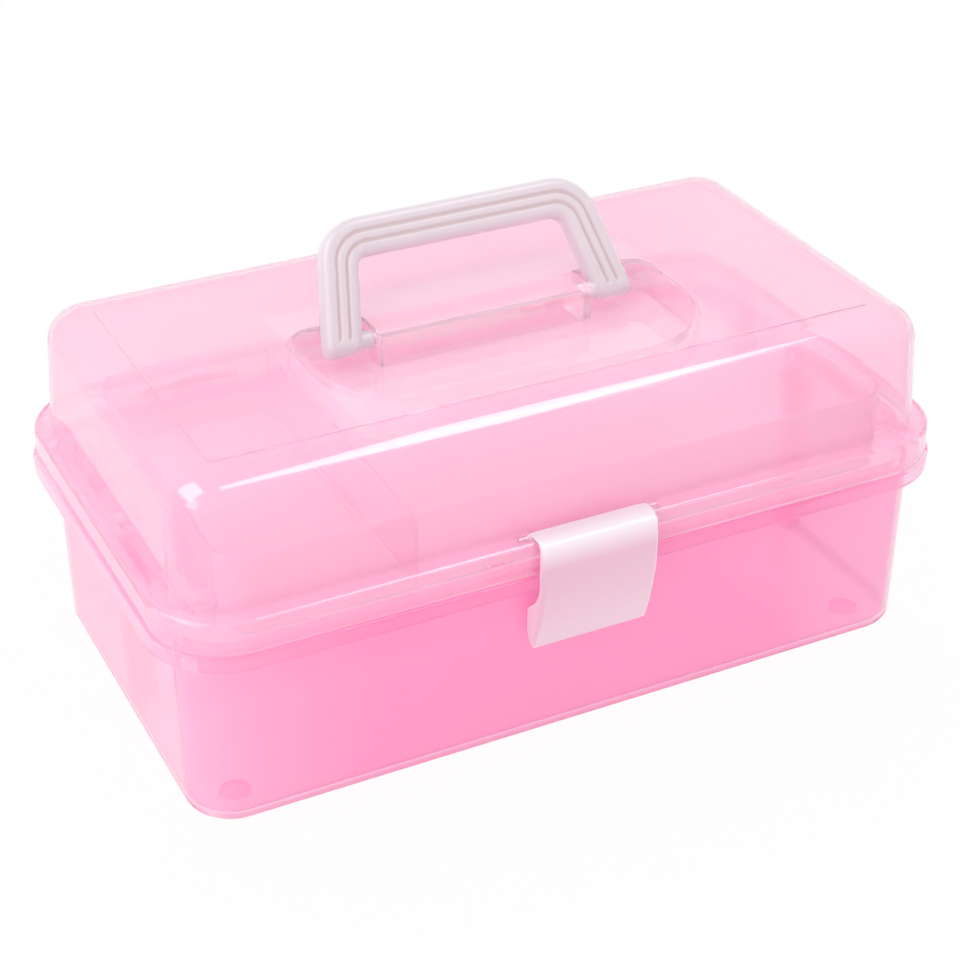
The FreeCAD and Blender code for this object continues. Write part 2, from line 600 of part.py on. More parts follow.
# ---------------------------------------------------------------------------------------------
# Lid: dome, flange and skirt, recess for the handle, outer knuckles, hangers for the tray
# ---------------------------------------------------------------------------------------------
def make_lid():
    body = new_body("lid")
    pad(body, "flange", "XY_Plane", FLANGE_LOW, FLANGE_TOP,
        lambda k: draw_rounded(k, SKIRT_X, -SKIRT_Y, SKIRT_Y, SKIRT_CORNER))

    def skirt_ring(k):
        draw_rounded(k, SKIRT_X, -SKIRT_Y, SKIRT_Y, SKIRT_CORNER)
        draw_rounded(k, SKIRT_X - S.skirt_wall, S.skirt_wall - SKIRT_Y, SKIRT_Y - S.skirt_wall,
                     SKIRT_CORNER - S.skirt_wall)

    skirt = pad(body, "skirt", "XY_Plane", SKIRT_LOW, FLANGE_TOP, skirt_ring)
    fillet(body, "skirt_rounding", skirt, S.skirt_edge,
           lambda box: near(box.ZMin, FLANGE_TOP) and near(box.ZMax, FLANGE_TOP))
    dome = tapered(body, "dome_outside", FLANGE_LOW, S.lid_top_z, -S.lid_draft,
                   lambda k: draw_rounded(k, S.lid_low_x, -S.lid_low_y, S.lid_low_y,
                                          S.lid_corner))
    fillet(body, "dome_shoulder", dome, S.lid_edge, flat_at(S.lid_top_z))
    hollow_out(body, "dome_inside", FLANGE_LOW - S.over, DOME_INSIDE, -S.lid_draft,
               lambda k: draw_rounded(k, S.lid_low_x - S.shell, S.shell - S.lid_low_y,
                                      S.lid_low_y - S.shell, S.lid_corner - S.shell),
               S.lid_edge - S.shell, DOME_INSIDE)

    # raised top panel
    panel = pad(body, "panel", "XY_Plane", S.lid_top_z - S.bite, PANEL_TOP,
                lambda k: draw_rounded(k, S.panel_x, -S.panel_y, S.panel_y, S.panel_corner))
    fillet(body, "panel_rounding", panel, S.panel_edge, flat_at(PANEL_TOP))

    # recess for the handle, with a bridge between the handle's feet
    pad(body, "recess_pan", "XY_Plane", PAN_LOW, S.lid_top_z - S.bite,
        lambda k: draw_rounded(k, S.recess_x + S.shell, S.recess_front - S.shell,
                               RECESS_BACK + S.shell, S.recess_front_corner + S.shell,
                               S.recess_back_corner + S.shell))
    pocket(body, "recess", "XY_Plane", RECESS_FLOOR, PANEL_TOP + S.over,
           lambda k: draw_rounded(k, S.recess_x, S.recess_front, RECESS_BACK,
                                  S.recess_front_corner, S.recess_back_corner))
    pad(body, "bridge", "XY_Plane", PAN_LOW, PANEL_TOP,
        lambda k: draw_rectangle(k, -S.island_x, S.island_x, S.island_front,
                                 RECESS_BACK + S.shell))
    pocket(body, "bridge_hollow", "XY_Plane", PAN_LOW - S.over, DOME_INSIDE,
           lambda k: draw_rectangle(k, S.shell - S.island_x, S.island_x - S.shell,
                                    S.island_front + S.shell, RECESS_BACK + S.shell + S.over))
    for side, low, high in both_ends(S.island_x - S.shell - S.over, S.island_x + S.over):
        pocket(body, "handle_pin_hole_" + side, "YZ_Plane", low, high,
               lambda k: draw_circle(k, S.grip_pivot_y, S.grip_pivot_z,
                                     S.grip_pin_round + S.run_fit))

    # slot and bosses for the latch pin
    boss_out = RIM_SLOT_X + S.latch_boss
    for side, low, high in both_ends(RIM_SLOT_X, boss_out):
        pad(body, "latch_boss_" + side, "YZ_Plane", low, high,
            lambda k: draw_rectangle(k, S.latch_axis_y - S.latch_barrel - S.over,
                                     S.shell / 2 - S.lid_low_y,
                                     S.latch_axis_z - S.latch_barrel - S.over, FLANGE_TOP))
    pocket(body, "latch_slot", "XY_Plane", FLANGE_LOW - S.over, FLANGE_TOP + S.latch_gap,
           lambda k: draw_rectangle(k, -RIM_SLOT_X, RIM_SLOT_X,
                                    S.latch_axis_y - S.latch_barrel - S.latch_slot_room,
                                    -S.lid_low_y))
    for side, low, high in both_ends(RIM_SLOT_X - S.over, boss_out - S.over):
        pocket(body, "latch_pin_hole_" + side, "YZ_Plane", low, high,
               lambda k: draw_circle(k, S.latch_axis_y, S.latch_axis_z,
                                     S.latch_pin_round + S.hold_fit))

    # notch with a slot in the skirt, to the left of the latch
    pocket(body, "notch", "XY_Plane", S.notch_low, FLANGE_TOP + S.over,
           lambda k: draw_rectangle(k, S.notch_left, S.notch_right, -SKIRT_Y - S.over,
                                    S.notch_deep - SKIRT_Y))
    slot_mid = (S.notch_left + S.notch_right) / 2
    slot_z = S.notch_slot_z
    pocket(body, "notch_slot", "XY_Plane", slot_z - S.notch_slot_high / 2,
           slot_z + S.notch_slot_high / 2,
           lambda k: draw_rectangle(k, slot_mid - S.notch_slot_wide / 2,
                                    slot_mid + S.notch_slot_wide / 2, -SKIRT_Y - S.over,
                                    S.skirt_wall - SKIRT_Y + S.over))

    # outer knuckles of each hinge
    inner = S.hinge_mid / 2 + S.hinge_slit
    for number, near_end in enumerate((inner, -inner - S.hinge_side)):
        for side, low, high in both_ends(S.hinge_x + near_end,
                                         S.hinge_x + near_end + S.hinge_side):
            tag = "%s_%d" % (side, number + 1)
            pad(body, "lid_knuckle_" + tag, "YZ_Plane", low, high,
                lambda k: draw_circle(k, S.hinge_y, HINGE_Z, S.hinge_round))
            pad(body, "lid_knuckle_web_" + tag, "YZ_Plane", low, high,
                lambda k: draw_rectangle(k, SKIRT_Y - S.skirt_wall / 2, S.hinge_y,
                                         HINGE_Z, HINGE_Z + S.hinge_round))
            pocket(body, "lid_knuckle_hole_" + tag, "YZ_Plane", low - S.over, high + S.over,
                   lambda k: draw_circle(k, S.hinge_y, HINGE_Z,
                                         S.hinge_pin_round + S.hold_fit))

    # hangers for the back of the tray
    for side, low, high in both_ends(S.arm_x, ARM_OUT):
        pad(body, "hanger_" + side, "YZ_Plane", low, high,
            lambda k: draw_rectangle(k, LID_AXIS_Y - S.arm_half, LID_AXIS_Y + S.arm_half,
                                     HINGE_Z, FLANGE_TOP + S.arm_half))
        pad(body, "hanger_eye_" + side, "YZ_Plane", low, high,
            lambda k: draw_circle(k, LID_AXIS_Y, HINGE_Z, S.arm_half))
    for side, low, high in both_ends(ARM_OUT - S.bite, S.lid_low_x - S.shell / 2):
        pad(body, "hanger_root_" + side, "YZ_Plane", low, high,
            lambda k: draw_rectangle(k, LID_AXIS_Y - S.arm_half, LID_AXIS_Y + S.arm_half,
                                     FLANGE_LOW, FLANGE_TOP + S.arm_half))
    for side, low, high in both_ends(S.arm_x - S.over, ARM_OUT + S.over):
        pocket(body, "hanger_hole_" + side, "YZ_Plane", low, high,
               lambda k: draw_circle(k, LID_AXIS_Y, HINGE_Z, S.pivot_pin_round + S.run_fit))
    return body


# ---------------------------------------------------------------------------------------------
# Handle: flat bow with two grooves, in its own frame about its axis, leaning back when raised
# ---------------------------------------------------------------------------------------------
def bow_points(inset, foot):
    """Corners of the bow's line at a distance from its outside, from the left foot round."""
    low = S.grip_foot_x - inset - S.grip_taper * foot
    top = S.grip_reach - inset
    high = S.grip_foot_x - inset - S.grip_taper * top
    return [(-low, foot), (low, foot), (high, top), (-high, top)]


def make_handle():
    body = new_body("handle")
    foot = -GRIP_HALF

    def bow(k):
        outer = bow_points(Size.of(0), foot)
        inner = bow_points(S.grip_wide, foot)
        draw_polygon(k, [outer[0], inner[0], inner[3], inner[2], inner[1], outer[1],
                         outer[2], outer[3]])

    plate = pad(body, "bow", "XY_Plane", -GRIP_HALF, GRIP_HALF, bow)
    outer_x = (S.grip_foot_x - S.grip_taper * S.grip_reach).value
    top = S.grip_reach.value
    corners = fillet(body, "outer_corners", plate, S.grip_corner_out,
                     lambda box: box.ZLength > 1 and box.YLength < 0.01 and near(box.YMin, top)
                     and near(abs(box.XMin), outer_x, 0.1))
    corners = fillet(body, "inner_corners", corners, S.grip_corner_in,
                     lambda box: box.ZLength > 1 and box.YLength < 0.01
                     and near(box.YMin, S.grip_reach - S.grip_wide))
    feet = fillet(body, "foot_edges", corners, S.grip_foot_edge,
                  lambda box: box.ZLength < 0.01 and near(box.YMax, foot))
    fillet(body, "long_edges", feet, S.grip_edge,
           lambda box: box.ZLength < 0.01 and near(abs(box.ZMin), GRIP_HALF)
           and (box.YMax > 0.5 or box.YLength > 1))

    # a boss on each foot, up to the bridge, with a blind hole for its pin
    boss_in = S.island_x + S.grip_side_gap
    leg_in = S.grip_foot_x - S.grip_wide
    for side, low, high in both_ends(boss_in, leg_in + S.grip_boss_round):
        pad(body, "boss_" + side, "YZ_Plane", low, high,
            lambda k: draw_circle(k, 0, 0, S.grip_boss_round))
    for side, low, high in both_ends(boss_in - S.over, leg_in + S.grip_pin_sunk + S.end_room):
        pocket(body, "boss_hole_" + side, "YZ_Plane", low, high,
               lambda k: draw_circle(k, 0, 0, S.grip_pin_round + S.hold_fit))

    # two round-bottomed grooves along the front
    for number, inset in enumerate((S.grip_groove_one, S.grip_groove_two), start=1):
        points = bow_points(inset, S.grip_groove_end)
        path = new_sketch(body, "groove_path_%d" % number, "XY_Plane", GRIP_HALF)
        draw_bent_line(path, [points[0], points[3], points[2], points[1]],
                       S.grip_corner_out - inset)
        ring = body.newObject("Sketcher::SketchObject", "groove_section_%d" % number)
        ring.AttachmentSupport = [(path, "Edge1")]
        ring.MapMode = "NormalToEdge"
        ring.MapPathParameter = 0.0
        draw_circle(ring, 0, 0, S.grip_groove_round)
        groove = body.newObject("PartDesign::SubtractivePipe", "groove_%d" % number)
        groove.Profile = ring
        groove.Spine = (path, [])
        doc.recompute()
    # the handle's frame has its origin on its axis, Y along its legs and Z out of its front
    body.Placement = FreeCAD.Placement(
        FreeCAD.Vector(0, S.grip_pivot_y.value, S.grip_pivot_z.value),
        FreeCAD.Rotation(FreeCAD.Vector(1, 0, 0), 90 - S.grip_lean.value))
    body.setExpression("Placement.Base.y", S.grip_pivot_y.text)
    body.setExpression("Placement.Base.z", S.grip_pivot_z.text)
    body.setExpression("Placement.Rotation.Angle", (90 - S.grip_lean).text)
    doc.recompute()
    return body


# ---------------------------------------------------------------------------------------------
# Latch: roof over the flange, curved front, two cheeks, barrel on its own pin
# ---------------------------------------------------------------------------------------------
def make_latch():
    body = new_body("latch")
    face, low_y, low_z = S.latch_face_y, S.latch_low_y, S.latch_low_z
    roof, wall, brow = S.latch_roof_z, S.latch_wall, FLANGE_TOP - S.latch_brow
    rim_low = S.parting_z - S.rim_drop
    cheek_y = -S.rim_y - S.latch_gap
    heel_y = S.rim_slot_y - S.latch_gap
    front = [(face + back, roof - drop) for drop, back in LATCH_CURVE]
    outline = [(S.latch_axis_y, roof - S.latch_roof_fall)] + front + [
        (low_y, low_z),
        (heel_y - S.latch_heel_in, low_z - S.latch_heel_drop),
        (heel_y, low_z + S.latch_heel_rise),
        (heel_y, rim_low - S.latch_neck_low),
        (cheek_y + S.latch_neck_in, rim_low - S.latch_neck_mid),
        (cheek_y, rim_low - S.latch_neck_top),
        (cheek_y, brow),
        (cheek_y + S.latch_brow_in, FLANGE_TOP + S.latch_gap),
        (S.latch_axis_y, FLANGE_TOP + S.latch_gap),
    ]
    pad(body, "outline", "YZ_Plane", -S.latch_x, S.latch_x, lambda k: draw_polygon(k, outline))

    # hollow between the cheeks, open to the back and below
    hollow_top = roof - LATCH_CURVE[2][0] - wall / 2
    lining = [(face + back + wall, roof - drop) for drop, back in LATCH_CURVE[3:]]
    behind = heel_y + S.over
    hollow = [(face + wall, hollow_top)] + lining + [
        (low_y + wall, low_z - S.latch_heel_drop - S.over),
        (behind, low_z - S.latch_heel_drop - S.over),
        (behind, hollow_top),
    ]
    inside = S.latch_x - wall
    pocket(body, "hollow", "YZ_Plane", -inside, inside, lambda k: draw_polygon(k, hollow))

    # barrel under the roof, with its bore
    pad(body, "barrel", "YZ_Plane", -S.latch_x, S.latch_x,
        lambda k: draw_circle(k, S.latch_axis_y, S.latch_axis_z, S.latch_barrel))
    pad(body, "barrel_web", "YZ_Plane", -S.latch_x, S.latch_x,
        lambda k: draw_rectangle(k, S.latch_axis_y - S.latch_barrel, S.latch_axis_y,
                                 S.latch_axis_z, roof - S.latch_roof_fall))
    pocket(body, "barrel_hole", "YZ_Plane", -S.latch_x - S.over, S.latch_x + S.over,
           lambda k: draw_circle(k, S.latch_axis_y, S.latch_axis_z,
                                 S.latch_pin_round + S.run_fit))
    return body


# ---------------------------------------------------------------------------------------------
# Tray, with two ribs on its floor for the divider and a pair of bosses at each end
# ---------------------------------------------------------------------------------------------
def make_tray():
    body = new_body("tray")
    wall = S.tray_wall
    block = pad(body, "tray_outside", "XY_Plane", S.tray_low_z, S.tray_top_z,
                lambda k: draw_rounded(k, S.tray_x, S.tray_front, S.tray_back, S.tray_corner))
    fillet(body, "tray_edge_round", block, S.tray_edge, flat_at(S.tray_low_z))
    pocket(body, "tray_inside", "XY_Plane", TRAY_FLOOR_TOP, S.tray_top_z,
           lambda k: draw_rounded(k, S.tray_x - wall, S.tray_front + wall, S.tray_back - wall,
                                  S.tray_corner - wall))
    rib_low, rib_high = TRAY_FLOOR_TOP - wall / 2, TRAY_FLOOR_TOP + S.guide_high
    reach = S.divider_thick / 2 + S.divider_gap
    left, right = S.divider_x - reach, S.divider_x + reach
    for name, low, high in (("left", left - S.guide_thick, left),
                            ("right", right, right + S.guide_thick)):
        pad(body, "rib_" + name, "XY_Plane", rib_low, rib_high,
            lambda k: draw_rectangle(k, low, high, S.tray_front + wall / 2,
                                     S.tray_back - wall / 2))
    for place, u, v in (("front", TRAY_AXIS_Y, S.arm_pivot_z), ("back", LID_AXIS_Y, HINGE_Z)):
        for side, low, high in both_ends(S.tray_x - wall / 2, POST_OUT):
            pad(body, "boss_%s_%s" % (place, side), "YZ_Plane", low, high,
                lambda k, a=u, b=v: draw_circle(k, a, b, S.pivot_boss_round))
        for side, low, high in both_ends(S.tray_x + S.bite, POST_OUT + S.over):
            fit = S.run_fit if place == "front" else S.hold_fit
            pocket(body, "boss_hole_%s_%s" % (place, side), "YZ_Plane", low, high,
                   lambda k, a=u, b=v, f=fit: draw_circle(k, a, b, S.pivot_pin_round + f))
    return body


def make_divider():
    """Make the loose divider that stands on the tray's floor between two ribs."""
    body = new_body("divider")
    half = S.divider_thick / 2
    pad(body, "plate", "XY_Plane", TRAY_FLOOR_TOP, TRAY_FLOOR_TOP + S.divider_high,
        lambda k: draw_rectangle(k, S.divider_x - half, S.divider_x + half,
                                 S.tray_front + S.tray_wall + S.divider_end_gap,
                                 S.tray_back - S.tray_wall - S.divider_end_gap))
    return body


def make_arm(label, low, high):
    """Make one arm: a flat bar with round ends from the post's axis to the tray's axis."""
    body = new_body(label)
    pad(body, label + "_bar", "YZ_Plane", low, high,
        lambda k: draw_slot(k, TRAY_AXIS_Y, S.arm_pivot_y, S.arm_pivot_z, S.arm_half))
    pocket(body, label + "_post_hole", "YZ_Plane", low - S.over, high + S.over,
           lambda k: draw_circle(k, S.arm_pivot_y, S.arm_pivot_z, S.pivot_pin_round + S.run_fit))
    pocket(body, label + "_tray_hole", "YZ_Plane", low - S.over, high + S.over,
           lambda k: draw_circle(k, TRAY_AXIS_Y, S.arm_pivot_z, S.pivot_pin_round + S.hold_fit))
    return body


def make_pin(label, y, z, radius, low, high, head_radius=None, head_side=1, head=None):
    """Make one pin along X, with an optional round head on its outer end."""
    body = new_body(label)
    pad(body, label + "_shank", "YZ_Plane", low, high, lambda k: draw_circle(k, y, z, radius))
    if head is not None:
        start, end = (high, high + head) if head_side > 0 else (low - head, low)
        cap = pad(body, label + "_head", "YZ_Plane", start, end,
                  lambda k: draw_circle(k, y, z, head_radius))
        outer = end if head_side > 0 else start
        fillet(body, label + "_head_round", cap, S.pivot_head_thick / 2,
               lambda box: near(box.XMin, outer) and near(box.XMax, outer))
    return body


def make_pins():
    """Make the pins of both ends: handle, hinges, arms, tray and hangers, and the latch pin."""
    parts = []
    post_in = POST_OUT - S.post_thick
    for side, sign in (("right", 1), ("left", -1)):
        def span(inner, outer):
            return (inner, outer) if sign > 0 else (-outer, -inner)

        low, high = span(S.island_x - S.shell, S.grip_foot_x - S.grip_wide + S.grip_pin_sunk)
        parts.append(make_pin("handle_pin_" + side, S.grip_pivot_y, S.grip_pivot_z,
                              S.grip_pin_round, low, high))
        reach = S.hinge_mid / 2 + S.hinge_slit + S.hinge_side
        low, high = span(S.hinge_x - reach, S.hinge_x + reach)
        parts.append(make_pin("hinge_pin_" + side, S.hinge_y, HINGE_Z, S.hinge_pin_round,
                              low, high))
        low, high = span(post_in, ARM_OUT + S.hold_fit)
        parts.append(make_pin("arm_pin_" + side, S.arm_pivot_y, S.arm_pivot_z,
                              S.pivot_pin_round, low, high, S.pivot_head_round, sign,
                              S.arm_head_reach))
        low, high = span(S.tray_x + S.bite + S.end_room, ARM_OUT)
        parts.append(make_pin("tray_pin_" + side, TRAY_AXIS_Y, S.arm_pivot_z,
                              S.pivot_pin_round, low, high, S.pivot_head_round, sign,
                              S.pivot_head_thick))
        low, high = span(S.tray_x + S.bite + S.end_room, ARM_OUT + S.hold_fit)
        parts.append(make_pin("hanger_pin_" + side, LID_AXIS_Y, HINGE_Z,
                              S.pivot_pin_round, low, high, S.pivot_head_round, sign,
                              S.pivot_head_thick))
    half = RIM_SLOT_X + S.latch_boss - S.over - S.end_room
    parts.append(make_pin("latch_pin", S.latch_axis_y, S.latch_axis_z, S.latch_pin_round,
                          -half, half))
    return parts


def make_feet():
    """Make the four round feet that sit in the tub's floor."""
    parts = []
    for side, sx in (("right", 1), ("left", -1)):
        for end, sy in (("front", -1), ("back", 1)):
            label = "foot_%s_%s" % (end, side)
            body = new_body(label)
            disc = pad(body, label + "_disc", "XY_Plane", 0, S.foot_proud + S.foot_sunk,
                       lambda k: draw_circle(k, sx * S.foot_x, sy * S.foot_y, S.foot_round))
            fillet(body, label + "_edge", disc, S.foot_proud / 2,
                   lambda box: box.ZMax < 0.01)
            parts.append(body)
    return parts


# ---------------------------------------------------------------------------------------------
# Build, check and write
# ---------------------------------------------------------------------------------------------
def make_all():
    parts = [make_tub(), make_lid(), make_handle(), make_latch(), make_tray(), make_divider()]
    for side, low, high in both_ends(S.arm_x, ARM_OUT):
        parts.append(make_arm("arm_" + side, low, high))
    parts += make_pins()
    parts += make_feet()
    return parts


def main():
    parts = make_all()
    doc.recompute()
    faults = [item.Name for item in doc.Objects
              if "Invalid" in item.State or "Error" in item.State]
    for part in parts:
        shape = part.Shape
        if shape.isNull() or not shape.isValid() or len(shape.Solids) != 1:
            faults.append("%s (%d solids)" % (part.Label, len(shape.Solids)))
    if faults:
        raise RuntimeError("failed: " + ", ".join(faults))
    os.makedirs("parts", exist_ok=True)
    for part in parts:
        part.Shape.exportStep("parts/%s.step" % part.Label)
        box = part.Shape.BoundBox
        print("%-18s %9.1f mm3  X %.1f..%.1f  Y %.1f..%.1f  Z %.1f..%.1f" % (
            part.Label, part.Shape.Volume, box.XMin, box.XMax, box.YMin, box.YMax,
            box.ZMin, box.ZMax))


main()
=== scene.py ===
"""Translucent storage case: finishes for its mouldings, its handle and latch, and a plain stage."""

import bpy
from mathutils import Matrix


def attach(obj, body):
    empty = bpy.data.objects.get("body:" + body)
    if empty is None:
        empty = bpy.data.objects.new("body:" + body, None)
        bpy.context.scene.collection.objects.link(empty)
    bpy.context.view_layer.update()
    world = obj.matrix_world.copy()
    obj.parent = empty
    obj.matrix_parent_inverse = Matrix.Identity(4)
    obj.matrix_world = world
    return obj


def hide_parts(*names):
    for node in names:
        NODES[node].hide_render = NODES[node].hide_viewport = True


bl_info = {
    "name": "Storage Case",
    "version": (1, 0, 0),
    "blender": (4, 5, 0),
    "location": "3D View > Sidebar > Storage Case",
    "description": "Builds the finishes, handle, latch and rim tab of a translucent storage case",
    "category": "Object",
}

import math

import bmesh
import bpy
import numpy as np
from bpy.props import FloatProperty, FloatVectorProperty, PointerProperty
from mathutils import Matrix, Vector

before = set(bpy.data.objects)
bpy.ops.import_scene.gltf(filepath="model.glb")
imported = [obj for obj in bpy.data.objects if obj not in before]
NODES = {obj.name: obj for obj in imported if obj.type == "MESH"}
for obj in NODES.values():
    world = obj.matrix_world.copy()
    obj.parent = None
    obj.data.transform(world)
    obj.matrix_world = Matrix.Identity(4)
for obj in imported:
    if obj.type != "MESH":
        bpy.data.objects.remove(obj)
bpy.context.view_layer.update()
MM = 0.001

# ------------------------------------------------------------------------------------------------
# Settings a user would change
# ------------------------------------------------------------------------------------------------


def colour(name, description, value):
    """A colour property without alpha."""
    return FloatVectorProperty(
        name=name, description=description, subtype="COLOR", size=3, min=0.0, max=1.0, default=value
    )


def portion(name, description, value):
    """A property between 0 and 1."""
    return FloatProperty(
        name=name, description=description, subtype="FACTOR", min=0.0, max=1.0, default=value
    )


class ShellSettings(bpy.types.PropertyGroup):
    """Colours and clarity of the tinted mouldings."""

    tub_tint: colour("Tub tint", "What one wall of the tub lets through", (1.0, 0.643, 0.818))
    tub_body: colour("Tub body", "Colour of the haze in the tub's plastic", (1.0, 0.445, 0.685))
    tub_haze: portion("Tub haze", "Share of the tub's plastic that scatters light", 0.22)
    tub_frost: portion("Tub frost", "How much the tub's walls blur what is behind them", 0.05)
    tub_ior: FloatProperty(
        name="Tub refraction", description="Bending of light in the tub's walls", default=1.10,
        min=1.0
    )
    lid_tint: colour("Lid tint", "What one wall of the lid lets through", (1.0, 0.858, 0.921))
    lid_body: colour("Lid body", "Colour of the haze in the lid's plastic", (1.0, 0.69, 0.82))
    lid_haze: portion("Lid haze", "Share of the lid's plastic that scatters light", 0.20)
    lid_ior: FloatProperty(
        name="Lid refraction", description="Bending of light in the lid's and tray's walls",
        default=1.13, min=1.0
    )
    tray_tint: colour("Tray tint", "What one wall of the tray lets through", (1.0, 0.90, 0.94))
    tray_body: colour("Tray body", "Colour of the haze in the tray's plastic", (1.0, 0.78, 0.86))
    tray_haze: portion("Tray haze", "Share of the tray's plastic that scatters light", 0.20)
    frost: portion("Frost", "How much the other walls blur what is behind them", 0.09)


class HandleSettings(bpy.types.PropertyGroup):
    """Sizes of the carry handle, in millimetres, in its own frame on its axis."""

    lean: FloatProperty(name="Lean", description="Backward lean in degrees", default=33.8)
    axis_y: FloatProperty(name="Axis, depth", description="Depth place of the axis", default=2.6)
    axis_z: FloatProperty(name="Axis, height", description="Height of the axis", default=138.2)
    reach: FloatProperty(name="Reach", description="Axis to the bar's far side", default=46.4)
    foot: FloatProperty(name="Foot", description="Half width over the feet", default=65.8)
    taper: FloatProperty(name="Taper", description="Inward slope of the legs", default=0.21)
    wide: FloatProperty(name="Width", description="Width of bar and legs", default=15.4, min=4.0)
    thick: FloatProperty(name="Thickness", description="Thickness of the bar", default=9.7, min=2.0)
    bend: FloatProperty(name="Bend", description="Outer radius of the corners", default=18.0)
    bend_in: FloatProperty(name="Inner bend", description="Inner radius of corners", default=5.0)
    edge: FloatProperty(name="Edge", description="Radius of the long edges", default=3.1)
    crown: FloatProperty(name="Crown", description="Rise of the front's middle", default=0.35)
    groove_deep: FloatProperty(name="Groove", description="Depth of the grooves", default=0.95)
    groove_wide: FloatProperty(
        name="Groove width", description="Half width of a groove", default=0.72
    )
    foot_round: FloatProperty(
        name="Foot rounding", description="Radius of the feet's ends", default=4.4
    )


class RimTabSettings(bpy.types.PropertyGroup):
    """Sizes of the small tab on the rim's front left corner, in millimetres and degrees."""

    middle_x: FloatProperty(
        name="Corner, X", description="Middle of the rim's corner", default=-133.0
    )
    middle_y: FloatProperty(
        name="Corner, Y", description="Middle of the rim's corner", default=-63.1
    )
    rim: FloatProperty(name="Rim radius", description="Radius of the rim's corner", default=32.0)
    start: FloatProperty(name="Start", description="Angle of one side of the tab", default=39.0)
    end: FloatProperty(name="End", description="Angle of the other side", default=51.5)
    low: FloatProperty(name="Low", description="Lower edge", default=75.2)
    high: FloatProperty(name="High", description="Upper edge", default=80.6)
    proud: FloatProperty(name="Proud", description="How far it stands out", default=0.5)


class LatchSettings(bpy.types.PropertyGroup):
    """Sizes of the latch, in millimetres."""

    left: FloatProperty(name="Left end", description="Place of the left cheek", default=-24.4)
    right: FloatProperty(name="Right end", description="Place of the right cheek", default=23.9)
    wall: FloatProperty(
        name="Wall", description="Thickness of front and cheeks", default=2.0, min=0.5
    )
    edge: FloatProperty(
        name="Edge", description="Rounding of the front's side edges", default=1.5
    )
    barrel: FloatProperty(name="Barrel", description="Radius of the barrel", default=1.75)
    bore: FloatProperty(name="Bore", description="Radius of the barrel's bore", default=1.01)


class TrimSettings(bpy.types.PropertyGroup):
    """Colours of the solid white parts."""

    handle_colour: colour("Handle colour", "Colour of the handle", (0.78, 0.68, 0.735))
    latch_colour: colour("Latch colour", "Colour of the latch", (0.83, 0.48, 0.62))


class StageSettings(bpy.types.PropertyGroup):
    """Light and camera."""

    world_light: FloatProperty(
        name="World light", description="Strength of the light from all round", default=0.96,
        min=0.0
    )
    focal: FloatProperty(
        name="Focal length", description="Focal length on a 36 mm wide frame", default=82.03,
        min=10.0, subtype="DISTANCE_CAMERA"
    )


# ------------------------------------------------------------------------------------------------
# Node trees
# ------------------------------------------------------------------------------------------------


class Tree:
    """Short calls for building a node tree."""

    def __init__(self, tree):
        self.tree = tree

    def node(self, kind, settings=None, **inputs):
        """Add a node and feed its inputs, whose names have underscores for spaces."""
        item = self.tree.nodes.new(kind)
        for key, value in (settings or {}).items():
            setattr(item, key, value)
        for key, value in inputs.items():
            self.feed(item, key.replace("_", " "), value)
        return item

    def feed(self, item, name, value):
        """Link a socket to an input or set a value on it. The input is found by name, or as n0,
        n1 and so on by number; a colour of three values gets an alpha of 1."""
        numbered = name[:1] == "n" and name[1:].isdigit()
        socket = item.inputs[int(name[1:])] if numbered else item.inputs[name]
        if isinstance(value, bpy.types.NodeSocket):
            self.tree.links.new(value, socket)
        elif isinstance(value, tuple) and len(value) == 3 and socket.type == "RGBA":
            socket.default_value = (*value, 1.0)
        else:
            socket.default_value = value

    def math(self, operation, a, b=0.0, clamp=False):
        """A sum, product or other plain calculation."""
        item = self.node("ShaderNodeMath", {"operation": operation, "use_clamp": clamp}, n0=a, n1=b)
        return item.outputs[0]

    def blend(self, factor, a, b, kind="MIX"):
        """A mix of two colours."""
        item = self.tree.nodes.new("ShaderNodeMix")
        item.data_type, item.blend_type = "RGBA", kind
        for number, value in ((0, factor), (6, a), (7, b)):
            self.feed(item, "n%d" % number, value)
        return item.outputs[2]

    def span(self, value, low, high, to_low=0.0, to_high=1.0):
        """A smooth change of range."""
        item = self.node("ShaderNodeMapRange", {"interpolation_type": "SMOOTHSTEP"}, n0=value,
                         n1=low, n2=high, n3=to_low, n4=to_high)
        return item.outputs[0]


def new_group(name, inputs, outputs):
    """A shader node group with named sockets, ready for its nodes."""
    group = bpy.data.node_groups.new(name, "ShaderNodeTree")
    for label, kind, value in inputs:
        socket = group.interface.new_socket(label, in_out="INPUT", socket_type=kind)
        socket.default_value = value
    for label, kind in outputs:
        group.interface.new_socket(label, in_out="OUTPUT", socket_type=kind)
    build = Tree(group)
    return group, build, build.node("NodeGroupInput"), build.node("NodeGroupOutput")


def moulded_skin_group():
    """Height of a moulded surface: slow waves of shrinkage under a fine grain from the mould."""
    group, b, start, end = new_group(
        "Moulded skin",
        [("Wave size", "NodeSocketFloat", 18.0), ("Wave height", "NodeSocketFloat", 1.0),
         ("Grain size", "NodeSocketFloat", 2600.0), ("Grain height", "NodeSocketFloat", 0.02)],
        [("Height", "NodeSocketFloat")],
    )
    place = b.node("ShaderNodeTexCoord").outputs["Object"]
    wave = b.node("ShaderNodeTexNoise", Vector=place, Scale=start.outputs["Wave size"], Detail=1.0)
    grain = b.node("ShaderNodeTexNoise", Vector=place, Scale=start.outputs["Grain size"],
                   Detail=2.0)
    slow = b.math("MULTIPLY", wave.outputs[0], start.outputs["Wave height"])
    fine = b.math("MULTIPLY", grain.outputs[0], start.outputs["Grain height"])
    b.feed(end, "Height", b.math("ADD", slow, fine))
    return group


